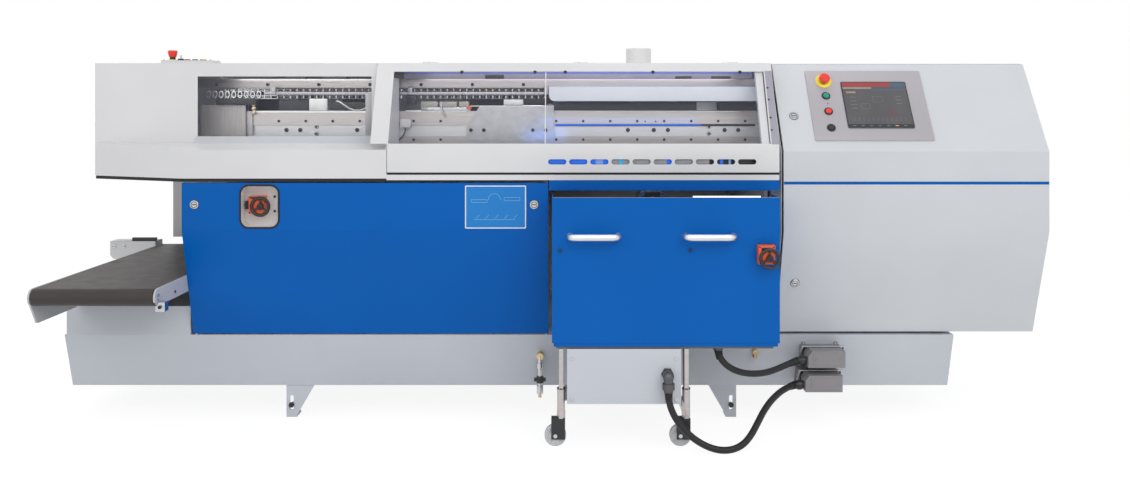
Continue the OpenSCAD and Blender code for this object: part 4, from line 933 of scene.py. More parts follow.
def rail_details(bm):
    """Extra heads, strips of painted highlight along the rails' top edges, and fittings on the
    rails.
    """
    edge = RAIL_Y + 0.2
    # painted highlight: bright strips where the rails' top edges catch the light
    add_blocks(bm, (
        ((1240, 291, 1154), (1478, edge, 1160), 7, 0.5),
        ((646, 291, 1150), (1180, edge, 1158), 7, 0.5),
        ((1822, 291, 1154), (2596, edge, 1159.6), 7, 0.5),
        ((1480, 281.4, 1175), (1817, 282.2, 1178), 7, 0.2),
    ))
    for x in (2172, 2213):
        add_screw(bm, x, RAIL_Y, 1117, 3, 4, 2.5)
    for z in (1069, 1096):
        for x in (891, 2421):
            add_turned(bm, place(x, 300, z), disc(8.6, 0, 4, 0.8), 4, 24)
            add_turned(bm, place(x, 296.2, z), ring(5.6, 7.4, 0, 0.8), 7, 24)


def add_plate(bm, length, width, z, thick):
    """A chain link plate in its own frame, waisted in the middle."""
    part = bmesh.new()
    size = (length * MM, width * MM, thick * MM, 1)
    bmesh.ops.create_cube(part, size=1, matrix=Matrix.Diagonal(size))
    rounded(part, edges_along(part, 2, thick), width * 0.36, 2)
    bmesh.ops.translate(part, vec=(0, 0, (z + thick / 2) * MM), verts=part.verts)
    joined(bm, part)


def chain_place(distance, straight):
    """Where a link is on the loop, in mm, and its heading."""
    half_turn = math.pi * CHAIN_R
    first, second = SPROCKET_XS
    if distance < straight:
        return Vector((first + distance, CHAIN_Y - CHAIN_R, 0)), 0.0
    distance -= straight
    if distance < half_turn:
        middle, turn = second, distance / CHAIN_R
    elif distance < half_turn + straight:
        return Vector((second - (distance - half_turn), CHAIN_Y + CHAIN_R, 0)), math.pi
    else:
        middle, turn = first, (distance - straight) / CHAIN_R
    out = Vector((math.sin(turn), -math.cos(turn), 0)) * CHAIN_R
    return Vector((middle, CHAIN_Y, 0)) + out, turn


class BINDER_OT_mechanism(Operator):
    """Rails, beam, roller chain, sprockets, clamp carriage and milling station"""

    bl_idname = "binder.mechanism"
    bl_label = "Mechanism"

    def execute(self, context):
        rails = ["aluminium", "plate_white", "angle", "block", "screw", "hose", "brass", "lip"]
        softened("transport_rails", rails, 0.5, rail_finish, rail_details)
        softened("inner_frame", ["inside", "iron"], 0.6, frame_finish)
        softened("clamp_carriage", ["zinc"], 1.0)
        softened("milling_head", ["steel"], 0.4)
        for side in ("left", "right"):
            softened("sprocket_" + side, ["steel"], 0.3)
        self.beam()
        self.chain(context.scene.binder_sizes.chain_pitch / MM)
        self.stations()
        return {"FINISHED"}

    def beam(self):
        """Upper beam, guide strip with its hangers, and the white tray with its rounded corner."""
        top, strip_low = BEAM_BOTTOM + 3, 1221
        bm = bmesh.new()
        add_block(bm, (430, BEAM_FRONT, BEAM_BOTTOM), (2630, 345, 1282), 0, 0.8)
        for i in range(7):
            add_screw(bm, 501 + 199.5 * i, BEAM_FRONT, 1260, 6.5, 1, 4)
        add_block(bm, (690, 286, strip_low), (1800, 290, 1231), 2, 0.5)
        for x in (720, 1250, 1780):
            add_block(bm, (x, 282, strip_low), (x + 16, 286.2, top), 2, 0.5)
            add_block(bm, (x, 282, BEAM_BOTTOM), (x + 16, 300.4, top), 2, 0.4)
        tray = bmesh.new()
        bmesh.ops.create_cube(tray, size=1, matrix=Matrix.Diagonal((0.797, 0.086, 0.055, 1)))
        corner = [
            edge for edge in tray.edges
            if all(vert.co.x < -0.39 and vert.co.z < -0.027 for vert in edge.verts)
        ]
        rounded(tray, corner, 22, 10)
        rounded(tray, sharp_edges(tray, BLOCK_EDGE_ABOVE), 1.6, 3)
        settled(bm, tray, Matrix.Translation(at(2197.5, 243, 1222.5)), 3)
        add_block(bm, (1799, 285, BEAM_BOTTOM), (2596, 300.4, top), 3, 0.5)
        for x in (1850, 2080, 2330, 2560):
            add_screw(bm, x, 293, top, 4, 1, 2, UPWARDS)
        finishes = ["aluminium", "screw", "angle", "tray"]
        finished("beam_and_tray", bm, "machine_body", finishes, "top_beam")

    def chain(self, pitch):
        """Two rows of links round both sprockets; each is two waisted plates and two rollers."""
        straight = SPROCKET_XS[1] - SPROCKET_XS[0]
        whole = 2 * straight + 2 * math.pi * CHAIN_R
        count = 2 * round(whole / pitch / 2)
        step = whole / count
        link = bmesh.new()
        for low, high in CHAIN_ROWS:
            for z in (low, high - 2):
                add_plate(link, step + 8.5, LINK_WIDTH, z, LINK_THICKNESS)
            for x in (-step / 2, step / 2):
                add_turned(link, moved(x, 0), disc(ROLLER_R, low + 1.5, high - 1.5, 0.3), 1, 8)
        add_turned(link, moved(-step / 2, 0), disc(PIN_R, 1204.2, 1244.9, 0.3), 1, 6)
        shape = mesh_of("link", link)
        bm = bmesh.new()
        for i in range(count):
            where, heading = chain_place(i * step, straight)
            turn = Matrix.Translation(at(where.x, where.y, 0)) @ Matrix.Rotation(heading, 4, "Z")
            odd = Matrix.Diagonal((1, 0.86 if i % 2 else 1, 1, 1))
            copy = bmesh.new()
            copy.from_mesh(shape)
            bmesh.ops.transform(copy, matrix=turn @ odd, verts=copy.verts)
            # painted light: links in the left window get a brighter copy of the chain's metal
            if where.x < 745:
                painted(copy, 2)
            joined(bm, copy)
        bpy.data.meshes.remove(shape)
        # the eyes take the same brighter metal, painted light
        for i in range(9):
            eye = place(475 + 24.4 * i, 291, 1221.5) @ Matrix.Diagonal((0.62, 1, 1, 1))
            add_turned(bm, eye, ring(9.5, 15.5, -2, 5, 1), 2, 24)
        finishes = ["chain", "steel", "link_bright"]
        finished("roller_chain", bm, "machine_body", finishes, "drive_chain")

    def stations(self):
        """Brushes, sensors, hoses, lamp boxes and guards that show through the windows."""
        names = [
            "black", "glow", "brush", "orange", "white", "hose", "cream", "steel", "inside",
            "lavender", "lavender_blue", "brass",
        ]
        (dark, glow, brush, orange, white, hose, cream, steel, grey,
         lavender, lavender_blue, brass) = range(len(names))
        bm = bmesh.new()
        # back wall panels behind the chain, with dark stations between them
        for left, right, finish in (
            (512, 690, dark), (690, 770, grey), (770, 880, dark), (880, 950, grey),
            (950, 1180, dark), (1230, 1470, grey), (1470, 1660, dark), (1660, 1780, grey),
            (1792, 2120, dark), (2120, 2320, grey), (2320, 2600, dark),
        ):
            add_block(bm, (left, 494, 1041), (right, 499.6, 1238), finish, 1)
        # lamp boxes under the hood's top
        for left, right, low, high in (
            (768, 846, 1282.5, 1290), (916, 1006, 1282.5, 1290), (1548, 1622, 1283, 1299),
            (2290, 2354, 1283, 1293), (2430, 2506, 1283, 1293),
        ):
            add_block(bm, (left, 300, low), (right, 340, high), dark, 1.2)
        add_blocks(bm, (
            # wall over the beam, glowing in two tones of painted light, with its lamp
            ((1230, 302, 1283), (2590, 310, 1301), lavender, 0.6),
            ((1230, 302, 1301), (2590, 310, 1316), lavender_blue, 0.6),
            ((1782, 300.4, 1309), (2387, 301.8, 1313), glow, 0.4),
            ((2380, 303, 1288), (2400, 318, 1297), white, 1),
            # dark joint line and its light over the lower beam
            ((1822, 293.2, 1098.4), (2600, 294.1, 1107), dark, 0.2),
            ((1822, 292.9, 1099.6), (2390, 294.05, 1106), glow, 0.2),
            # strip under the tray, brush block and cream edge
            ((1812, 291, 1160), (2420, 294, 1192), dark, 0.6),
            ((2372, 288.5, 1160), (2450, 294, 1192), grey, 0.6),
            ((2452, 240, 1162), (2596, 292, 1192), brush, 2),
            ((1812, 284, 1156.6), (2596, 294, 1160), cream, 0.5),
            # carriers at the left of the hood, and what stands right of the orange sensor
            ((1242, 284, 1180), (1282, 300, 1218), dark, 2.5),
            ((1300, 284, 1172), (1365, 294, 1194), cream, 1.2),
            ((1372, 284, 1172), (1440, 294, 1194), cream, 1.2),
            ((1448, 284, 1172), (1486, 294, 1194), cream, 1.2),
            ((1300, 289, 1157), (1492, 300, 1172), steel, 0.8),
            ((1622, 280, 1180), (1698, 296, 1202), white, 3),
            ((1700, 286, 1180), (1786, 296, 1202), brush, 1.5),
            ((1622, 288, 1157), (1786, 299, 1180), steel, 0.8),
            # sensor box on the partition
            ((1222, 262, 1093), (1262, 292, 1126), white, 3),
            # inside the left window
            ((512, 262, 1181), (666, 292, 1206), dark, 2),
            ((631, 282, 1066), (645, 293.8, 1157), grey, 1),
            ((745, 300, 1158), (862, 306, 1200), dark, 1),
            ((866, 284, 1158), (936, 300, 1205), white, 3),
            ((1087, 272, 1066), (1111, 280, 1225), grey, 1),
            ((950, 288, 1159), (1130, 296, 1192), dark, 1),
        ))
        add_turned(bm, place(1489, 284, 1170), disc(8, -6, 12, 1.5), orange, 20)
        for z in (1152, 1168, 1184):
            add_turned(bm, place(652, 292, z), disc(8.5, 0, 14, 1.2), brass, 20)
            add_turned(bm, place(652, 280, z), disc(5.5, 0, 8, 0.8), steel, 6)
        # the sensor's cable, and two hoses
        add_loop(bm, [
            (1242, 276, 1093), (1240, 276, 1078), (1233, 276, 1062), (1222, 276, 1050),
            (1214, 274, 1042),
        ], 2.2, dark, 8)
        add_loop(bm, [
            (972, 286, 1196), (986, 282, 1192), (1004, 280, 1180), (1022, 280, 1168),
            (1042, 281, 1160), (1064, 282, 1160), (1082, 284, 1166), (1094, 288, 1176),
        ], 3.2, hose)
        add_loop(bm, [
            (1378, 283, 1190), (1379, 278, 1176), (1382, 276, 1160), (1388, 278, 1146),
            (1396, 286, 1136),
        ], 3, hose)
        finished("stations", bm, "machine_body", names)


# ---- control cabinet ----
CABINET_X = 2641
DOOR_LEFT = 2648
CABINET_RIGHT = 3604
CABINET_BACK_Y = 1040
DOOR_FOLD_Z = 1013
DOOR_RUN, DOOR_RISE = 210, 322
DOOR_SLOPE = math.degrees(math.atan2(DOOR_RISE, DOOR_RUN))
KEY_X = 2832
STOP_Z = 1268
KEY_ZS = (1212, 1155, 1095)
PLATE_T = 4


def door_place(x, z):
    """A matrix on the door's upper slope at a height: X along the machine, Y up, Z outwards."""
    return tilted(x, DOOR_RUN * (z - DOOR_FOLD_Z) / DOOR_RISE, z, DOOR_SLOPE)


def cabinet_finish(mid, normal):
    inside = CABINET_X + 55 < mid.x < CABINET_RIGHT - 55 and 420 < mid.z < 1281
    if inside and 790 < mid.y < 1036:
        return "zinc" if mid.y > 975 else "black" if mid.z > 900 else "tray"
    return "steel" if mid.x > CABINET_RIGHT - 11 and mid.y < 28 else "cabinet"


def cabinet_details(bm):
    """Door seal, contactors, trunking, the rear door's joint, its screws and its slots."""
    for z, depth in ((352, 160), (1322, 240)):
        low, high = (CABINET_X + 24, depth, z - 4), (CABINET_RIGHT - 40, depth + 6, z + 4)
        add_block(bm, low, high, 3, 1)
    for z in (740, 960, 1262):
        add_block(bm, (CABINET_X + 80, 930, z), (CABINET_RIGHT - 100, 979, z + 30), 4, 1)
    for i in range(9):
        x = CABINET_X + 140 + 70 * i
        add_block(bm, (x, 905, 800), (x + 55, 979, 880), 1, 2)
    back = (CABINET_BACK_Y + 0.2, CABINET_BACK_Y + 1)
    add_block(bm, (CABINET_X + 12, back[0], 350), (CABINET_X + 14, back[1], 1324), 3, 0.2)
    for z in (372, 838, 1306):
        for x in (CABINET_X + 30, CABINET_RIGHT - 30):
            add_screw(bm, x, CABINET_BACK_Y, z, 6, 5, 2.4, BACKWARDS)
    add_vents(bm, 3210, 3450, 1090, 10, back, 3)


def door_details(bm):
    """Blue stripe across the door."""
    low, high = (DOOR_LEFT + 0.6, -0.35, 894.5), (CABINET_RIGHT - 0.6, 0.2, 905)
    add_block(bm, low, high, 1, 0)


class BINDER_OT_cabinet(Operator):
    """Control cabinet and its bent door with the blue stripe"""

    bl_idname = "binder.cabinet"
    bl_label = "Control Cabinet"

    def execute(self, context):
        edge = context.scene.binder_sizes.edge / MM
        body = ["cabinet", "zinc", "tray", "black", "white", "screw", "steel"]
        softened("cabinet_body", body, edge, cabinet_finish, cabinet_details)
        door = ["cabinet", "stripe", "steel"]
        softened("cabinet_door", door, edge, None, door_details)
        return {"FINISHED"}


class BINDER_OT_operator_panel(Operator):
    """Operator panel with its screen, three keys and emergency stop"""

    bl_idname = "binder.operator_panel"
    bl_label = "Operator Panel"

    def execute(self, context):
        self.plate()
        self.screen()
        for name, finish in (("door_green", "green"), ("door_red", "red"), ("door_black", "black")):
            softened(name, [finish, "steel"], 1.2)
        softened("door_estop", ["red", "black"], 0.8, stop_finish, stop_arrows)
        return {"FINISHED"}

    def plate(self):
        bm = bmesh.new()
        half = (1308 - 1050) / math.sin(math.radians(DOOR_SLOPE)) / 2
        low, high = (-217, -half, 0), (217, half, PLATE_T)
        add_block(bm, low, high, 0, 0.7, door_place(2984, 1179), 5)
        base = moved(0, 0, PLATE_T)
        add_turned(bm, door_place(KEY_X, STOP_Z) @ base, [
            (11.6, -0.5), (29, -0.5), (30, 0.6), (30, 1.8), (28.6, 2.9), (17, 3), (16, 2.2),
            (11.6, 2.2), (11.6, -0.5),
        ], 1, 48)
        for z in KEY_ZS:
            add_turned(bm, door_place(KEY_X, z) @ base, [
                (11.5, -0.5), (15.4, -0.5), (16, 0.4), (16, 2.6), (14.6, 3.9), (12.6, 4),
                (11.5, 3), (11.5, -0.5),
            ], 3, 40)
        lamp = [(0, 0), (2.4, 0), (2.4, 0.4), (1.6, 1.2), (0, 1.4)]
        add_turned(bm, door_place(2834, 1183) @ base, lamp, 2, 20)
        finishes = ["plate", "yellow", "screw", "black"]
        finished("operator_panel", bm, "cabinet_door", finishes, "control_plate")

    def screen(self):
        """Screen with a generic layout of bars, fields and rows, and no lettering."""
        names = [
            "black", "screen", "screen_red", "screen_blue", "screen_tan", "screen_dark", "amber",
            "screen_line",
        ]
        _, face, red, blue, tan, dark, amber, line = range(len(names))
        bm = bmesh.new()
        middle = door_place(3016, 1179)
        front = PLATE_T + 3
        low, high = (-122, -102.5, PLATE_T - 0.4), (122, 102.5, front)
        add_block(bm, low, high, 0, 0.8, middle, 6)

        def field(left, low, right, high, finish, lift=0.3):
            near, far = (left, low, front - 0.4), (right, high, front + lift)
            add_block(bm, near, far, finish, 0, middle)

        field(-118, -98.5, 118, 98.5, face, 0.1)
        field(-118, 78, 62, 98.5, red)
        field(62, 78, 118, 98.5, blue)
        field(-118, 69, -10, 77, tan)
        field(-10, 60, 108, 68, blue)
        field(-108, 50, -72, 58, tan)
        field(-118, -98.5, 118, -86, dark)
        for i in range(7):
            field(31 * i - 104, -94, 31 * i - 92, -91, amber if i == 5 else line, 0.4)
        for y in (-62, -70):
            for i in range(12):
                field(17 * i - 96, y, 17 * i - 90, y + 2.2, line, 0.4)
        for box, finish in (
            ((30, -44, 64, -26), red), ((-60, -20, -28, 4), line), ((-14, 10, 24, 36), line),
        ):
            for side in outline_of(*box):
                field(*side, finish, 0.45)
        for x, y in (
            (-98, 30), (-98, 14), (-98, -2), (-98, -18), (72, 34), (72, 18), (72, 2),
        ):
            field(x, y, x + 22, y + 3, line, 0.4)
        finished("screen", bm, "cabinet_door", names)


def outline_of(left, low, right, high, width=1.4):
    """The four strips round a rectangle."""
    return (
        (left, low, right, low + width), (left, high - width, right, high),
        (left, low, left + width, high), (right - width, low, right, high),
    )


def stop_finish(mid, normal):
    above = (door_place(KEY_X, STOP_Z).inverted() @ at(*mid)).z / MM
    return "red" if above > 15.5 else "black"


def stop_arrows(bm):
    """Three small raised marks round the emergency stop's cap."""
    for turn in (90, 210, 330):
        seat = door_place(KEY_X, STOP_Z) @ spun(turn)
        add_block(bm, (10, -2.2, 33.0), (13.5, 2.2, 34.2), 0, 0.5, seat)


class BINDER_OT_locks(Operator):
    """Quarter-turn locks of the blue panel and the cabinet door, bright with a dark slot"""

    bl_idname = "binder.locks"
    bl_label = "Locks"

    def execute(self, context):
        steps = context.scene.binder_sizes.round_steps
        lean, rise, low_z = 130, 388, 528
        low_y = lean * (336 + rise - low_z) / rise
        low_angle = math.degrees(math.atan2(rise, -lean))
        spots = {
            "panel_lock_left": upright(525, 0, 822),
            "panel_lock_right": upright(1749, 0, 822),
            "door_lock_top": door_place(2703, 1140),
            "door_lock_bottom": tilted(2703, low_y, low_z, low_angle),
        }
        head = [
            (0, -20), (9.4, -20), (10, -19.4), (10, 0.3), (14.8, 0.3), (15.5, 0.9), (15.5, 2.2),
            (14.2, 3.3), (10.6, 3.3), (10.2, 2.7), (0, 2.7),
        ]
        nut = [(0, -26), (4.6, -26), (5, -25.4), (5, -22), (0, -22)]
        for name, seat in spots.items():
            bm = bmesh.new()
            add_turned(bm, seat, head, 0, steps)
            add_turned(bm, seat, ring(9.6, 11.8, 2.2, 3.5), 1, 40)
            # painted shadow: a black ring round the head's foot, as a dark outline on the panel
            add_turned(bm, seat, ring(15, 17.2, 0.1, 0.9), 1, 40)
            add_block(bm, (-7, -1.8, 2.5), (7, 1.8, 3.0), 1, 0.2, seat)
            add_block(bm, (-6, -6, -22), (6, 24, -19), 0, 0.8, seat, 2)
            add_turned(bm, seat, nut, 1, 6)
            finished(name + "_turned", bm, BODY_OF[name], ["steel", "black"], name)
        return {"FINISHED"}


# ---- left panel and handwheels ----
RECESS_X = 760
RECESS_Z = 815
SPOKE_TURNS = (90, 210, 330)


def rounded_track(wide, high, radius, steps):
    """Places round a rounded rectangle's outline, in mm."""
    track = []
    for corner, (sx, sy) in enumerate(((1, 1), (-1, 1), (-1, -1), (1, -1))):
        for k in range(steps + 1):
            turn = math.radians(90 * corner + 90 * k / steps)
            x = sx * (wide / 2 - radius) + radius * math.cos(turn)
            y = sy * (high / 2 - radius) + radius * math.sin(turn)
            track.append((x, y, 0))
    return track


def tray_finish(mid, normal):
    if mid.y > 61:
        return "zinc"
    housing = 712 < mid.x < 772 and 785 < mid.z < 851
    deep = 50 if abs(normal.y) > 0.9 else 57
    return "orange" if housing and 22.5 < mid.y < deep else "grey_tray"


def add_diagram(bm, plate):
    """A blue plate in a white border, with a plain generic line drawing and no lettering."""
    add_block(bm, (-110, -77.5, -0.1), (110, 77.5, 0.35), 4, 0, plate, 4)
    add_block(bm, (-106, -73.5, 0.2), (106, 73.5, 0.5), 2, 0, plate, 3)
    for left, low, right, high in (
        (-78, -46, 70, -44.6), (-88, 26, -30, 27.4), (-88, 16, -30, 17.4),
        (-88, 16, -86.6, 27.4), (-31.4, 16, -30, 27.4), (30, 34, 88, 35.4),
        (30, 22, 88, 23.4), (30, 22, 31.4, 35.4), (86.6, 22, 88, 35.4),
    ):
        add_block(bm, (left, low, 0.4), (right, high, 0.6), 3, 0, plate)
    for i in range(5):
        stroke = plate @ moved(34 * i - 70, -42) @ Matrix.Rotation(0.8, 4, "Z")
        add_block(bm, (0, 0, 0.4), (18, 1.4, 0.6), 3, 0, stroke)
    turns = [math.radians(angle) for angle in range(0, 181, 20)]
    arc = [Vector((22 * math.cos(turn) - 4, 26 + 22 * math.sin(turn), 0.5)) for turn in turns]
    for first, second in zip(arc, arc[1:]):
        line = second - first
        seat = plate @ moved(*first) @ Matrix.Rotation(math.atan2(line.y, line.x), 4, "Z")
        add_block(bm, (0, -0.7, -0.1), (line.length, 0.7, 0.1), 3, 0, seat)


def panel_details(bm):
    """Edging round the cut-out, and the diagram plate."""
    cut_out = rounded_track(139, 153, 31, 8)
    add_loop(bm, cut_out, 3.4, 1, 8, True, upright(RECESS_X, -0.4, RECESS_Z))
    add_diagram(bm, upright(1610, 0, 813.5))


def indicator_details(bm):
    """Window, block and bar of the position indicator, left blank, with their screws."""
    add_blocks(bm, (
        ((720, 23.3, 840), (744, 24.2, 847.5), 3, 0.4),
        ((697, 38, 802), (713.5, 60, 832), 3, 1.2),
        ((790, 55, 782), (809, 60.2, 858), 0, 1),
    ))
    for z in (793, 846):
        add_screw(bm, 799.5, 55, z, 4.6, 3, 3)
    for z in (790, 846):
        add_screw(bm, 717, 24, z, 2.4, 3, 1.6)
        add_screw(bm, 767, 24, z, 2.4, 3, 1.6)


class BINDER_OT_left_panel(Operator):
    """Blue left panel with its edged cut-out, adjuster tray and a plain diagram plate"""

    bl_idname = "binder.left_panel"
    bl_label = "Left Panel"

    def execute(self, context):
        edge = context.scene.binder_sizes.edge / MM
        finishes = ["blue", "seal", "diagram", "diagram_line", "white", "steel"]
        softened("left_panel", finishes, edge, None, panel_details)
        tray = ["grey_tray", "orange", "zinc", "black"]
        softened("adjuster_tray", tray, 0.8, tray_finish, indicator_details)
        return {"FINISHED"}


class BINDER_OT_handwheels(Operator):
    """Three-spoked black handwheels of the position indicators"""

    bl_idname = "binder.handwheels"
    bl_label = "Handwheels"

    def execute(self, context):
        steps = context.scene.binder_sizes.round_steps
        turns = [math.radians(angle) for angle in range(0, 361, 30)]
        rim = [(31.5 + 6 * math.cos(turn), 6 + 6 * math.sin(turn)) for turn in turns]
        hub = [
            (0, 0), (11.6, 0), (12, 0.6), (12, 10), (10.6, 12.4), (6.4, 13), (5.8, 11.2), (0, 11.2),
        ]
        nut = [(0, 11.0), (4.6, 11.0), (4.6, 12.2), (2.4, 12.7), (0, 12.7)]
        shaft = [(0, -22), (4.7, -22), (5, -21.6), (5, 0.5), (0, 0.5)]
        grip = [(0, 6), (4.2, 6), (3.6, 10), (5, 15), (5, 18.6), (3.4, 20.6), (0, 21)]
        for name, spot in (
            ("handwheel_left", (757, 23, 813)), ("handwheel_right", (2558, -190, 657)),
        ):
            seat = upright(*spot)
            bm = bmesh.new()
            add_turned(bm, seat, rim, 0, steps)
            add_turned(bm, seat, hub, 0, steps)
            add_turned(bm, seat, nut, 1, 6)
            add_turned(bm, seat, shaft, 2, 24)
            for turn in SPOKE_TURNS:
                add_block(bm, (8, -4, 2), (31, 4, 8), 0, 2, seat @ spun(turn))
            add_turned(bm, seat @ spun(40) @ moved(29.5, 0), grip, 0, 24)
            finishes = ["black", "screw", "steel"]
            finished(name + "_turned", bm, BODY_OF[name], finishes, name)
        return {"FINISHED"}


# ---- gluing unit ----
UNIT_FRONT = -153
LEG_XS = (1846.5, 2279.5)
UPPER_GLAND_X, UPPER_GLAND_Y = 2396, -96
ELBOW_X = 2213
WHEEL_R = 37.5
WHEEL_WIDTH = 26
REAR_AXLE_Y = 400


def unit_frame_finish(mid, normal):
    if mid.y > 380 and mid.z < 100:
        return "zinc"
    near_gland = abs(mid.x - UPPER_GLAND_X) < 19 and abs(mid.y - UPPER_GLAND_Y) < 19
    if near_gland and mid.z < 340:
        return "gland"
    if mid.z > 339 and mid.y < -110:
        return "box_side"
    return "inside" if 339 < mid.z < 661 and mid.y > -145 else "aluminium"


def box_finish(mid, normal):
    if mid.y < -156.8 and abs(mid.x - ELBOW_X) < 24:
        return "gland"
    return "steel" if mid.y < -153.2 else "base" if mid.y < -139.8 else "box_side"


def leg_sleeves(bm):
    """Sleeves of the two front legs with their dark caps."""
    sleeve = [(0, 0), (12, 0), (13.6, 1.4), (13.6, 92), (0, 92)]
    cap = [(0, 0), (14.6, 0), (14.6, 4), (12, 6.5), (0, 6.5)]
    for x in LEG_XS:
        add_turned(bm, place(x, -137, 106, UPWARDS), sleeve)
        add_turned(bm, place(x, -137, 198, UPWARDS), cap, 3)


def unit_panel_details(bm):
    """Edge strip and lamp strip on the panel's upper edge."""
    add_blocks(bm, (
        ((1819, -152.8, 858.5), (2597, -150, 862.6), 3, 0.4),
        ((2300, -152.6, 861.9), (2535, -147, 867), 1, 0.6),
        ((2298, -152.8, 861.9), (2301, -146.6, 867.6), 2, 0.4),
        ((2535, -152.8, 861.9), (2538, -146.6, 867.6), 2, 0.4),
    ))


def box_details(bm):
    """Lid joint at the switch box's sides, and the nuts on the elbow."""
    add_block(bm, (1866.8, -140.6, 152), (1867.6, -139.4, 338), 4, 0)
    add_block(bm, (2260.4, -140.6, 152), (2261.2, -139.4, 338), 4, 0)
    nut = [(19.4, 0), (21.2, 1), (21.2, 20), (19.4, 21.4), (19.4, 0)]
    add_turned(bm, place(ELBOW_X, -191, 210, UPWARDS), nut, 3, 6)
    collar = [(16, 0), (22, 0), (22, 6), (20.5, 8), (16, 8), (16, 0)]
    add_turned(bm, place(ELBOW_X, UNIT_FRONT, 254), collar, 3, 6)


class BINDER_OT_gluing_unit(Operator):
    """Roll-out gluing unit: panel, handles, knobs, frame, switch box, tank and roller"""

    bl_idname = "binder.gluing_unit"
    bl_label = "Gluing Unit"

    def execute(self, context):
        edge = context.scene.binder_sizes.edge / MM
        panel = ["blue", "lamp", "black", "trim"]
        softened("trolley_panel", panel, edge, None, unit_panel_details)
        self.handles()
        unit = ["aluminium", "zinc", "inside", "gland", "box_side"]
        softened("trolley_frame", unit, 0.8, unit_frame_finish, leg_sleeves)
        box = ["base", "box_side", "steel", "gland", "seal"]
        softened("switch_box", box, 0.9, box_finish, box_details)
        softened("glue_tank", ["iron"], 1.5)
        softened("glue_roller", ["steel"], 0.6)
        return {"FINISHED"}

    def handles(self):
        """Bow handles bent from tube, knobs and the orange position indicator."""
        reach, half, radius, bend = 46, 83, 12, 26
        track = [(-half, 0), (-half, reach - bend)]
        for k in range(1, 7):
            turn = math.radians(90 * k / 6)
            along = bend - half - bend * math.cos(turn)
            track.append((along, reach - bend + bend * math.sin(turn)))
        track += [(-along, out) for along, out in reversed(track)]
        bm = bmesh.new()
        for x in (1960, 2356):
            points = [(x + along, UNIT_FRONT - out, 729) for along, out in track]
            add_loop(bm, points, radius, 0, 28)
        knob = [(0, 0), (3.4, 0), (3.4, 3), (5.4, 4.5), (5.4, 9.5), (4.2, 11.6), (0, 12)]
        for x in (1843, 2292):
            add_turned(bm, place(x, UNIT_FRONT, 680), knob, 3)
        indicator = merged_part("trolley_fittings", lambda mid: mid.x > 2515 and mid.z < 702)
        rounded(indicator, sharp_edges(indicator, 40), 1.4)
        settled(bm, indicator, Matrix(), 1)
        add_block(bm, (2530, -189.5, 684), (2556, -188.8, 694), 3, 0.3)
        for x, z in ((2525, 642), (2573, 642), (2525, 696), (2573, 696)):
            add_screw(bm, x, -189, z, 2.4, 3, 1.4)
        finished(
            "handles_and_indicator", bm, "gluing_unit", ["handle", "orange", "steel", "screw"],
            "trolley_fittings",
        )


def merged_part(node, chosen):
    """The parts of a CAD node whose faces are chosen by their middle in mm."""
    bm = merged_copy(node)
    dropped = [face for face in bm.faces if not chosen(in_mm(face.calc_center_median()))]
    bmesh.ops.delete(bm, geom=dropped, context="FACES")
    return bm


def add_wheel(bm, seat, steps):
    """A grey tyre on a pale hub."""
    wide = WHEEL_WIDTH
    add_turned(bm, seat, [
        (27, 1.5), (33.5, 0.4), (36.4, 2.2), (WHEEL_R, 5.5), (WHEEL_R, wide - 5.5),
        (36.4, wide - 2.2), (33.5, wide - 0.4), (27, wide - 1.5), (27, 1.5),
    ], 0, steps)
    half = [(6, 4), (9, 2), (13, 2), (15, 6), (22, 6), (25, 3.4), (27.4, 3.4)]
    other = [(radius, wide - height) for radius, height in reversed(half)]
    add_turned(bm, seat, half + other + half[:1], 1, steps)


class BINDER_OT_casters(Operator):
    """Swivel casters and fixed rear wheels with grey tyres and pale hubs"""

    bl_idname = "binder.casters"
    bl_label = "Casters"

    def execute(self, context):
        steps = context.scene.binder_sizes.round_steps
        finishes = ["tread", "hub", "steel"]
        nut = [(0, -4), (7.5, -4), (7.5, -0.4), (0, 0)]
        for side in ("left", "right"):
            softened("caster_fork_" + side, ["black"], 0.8)
            name = "caster_wheel_" + side
            low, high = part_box(name)
            x, y, z = in_mm((low + high) / 2)
            bm = bmesh.new()
            add_wheel(bm, place(x, y + WHEEL_WIDTH / 2, z), steps)
            add_turned(bm, place(x, y + 20, z), disc(6, 0, 40, 1), 2, 24)
            for end, way in ((-20, FORWARDS), (20, BACKWARDS)):
                add_turned(bm, place(x, y + end, z, way), nut, 2, 6)
            finished(name + "_turned", bm, BODY_OF[name], finishes, name)
        bm = bmesh.new()
        for x in (1856, 2244):
            seat = place(x, REAR_AXLE_Y, WHEEL_R, RIGHTWARDS)
            add_wheel(bm, seat, steps)
        add_rod(bm, (1835, REAR_AXLE_Y, WHEEL_R), (2291, REAR_AXLE_Y, WHEEL_R), 6, 2)
        rear = BODY_OF["rear_wheels"]
        finished("rear_wheels_turned", bm, rear, finishes, "rear_wheels")
        return {"FINISHED"}


# ---- delivery conveyor ----
ROLLER_YS = (-205, 880)
ROLLER_Z = 528.5


def conveyor_finish(mid, normal):
    if mid.x < 46.6 and mid.z > 498 and mid.y > 812:
        if mid.z > 577.9 and mid.y < 851 and mid.x > -61:
            return "rail_black"
        return "cover" if mid.y > 819.9 else "steel"
    if mid.y < -182 and mid.x > 472 and mid.z < 515:
        return "black" if mid.y < -215.1 else "steel"
    return "base" if mid.z < 500 and mid.y > 100 else "side_plate"


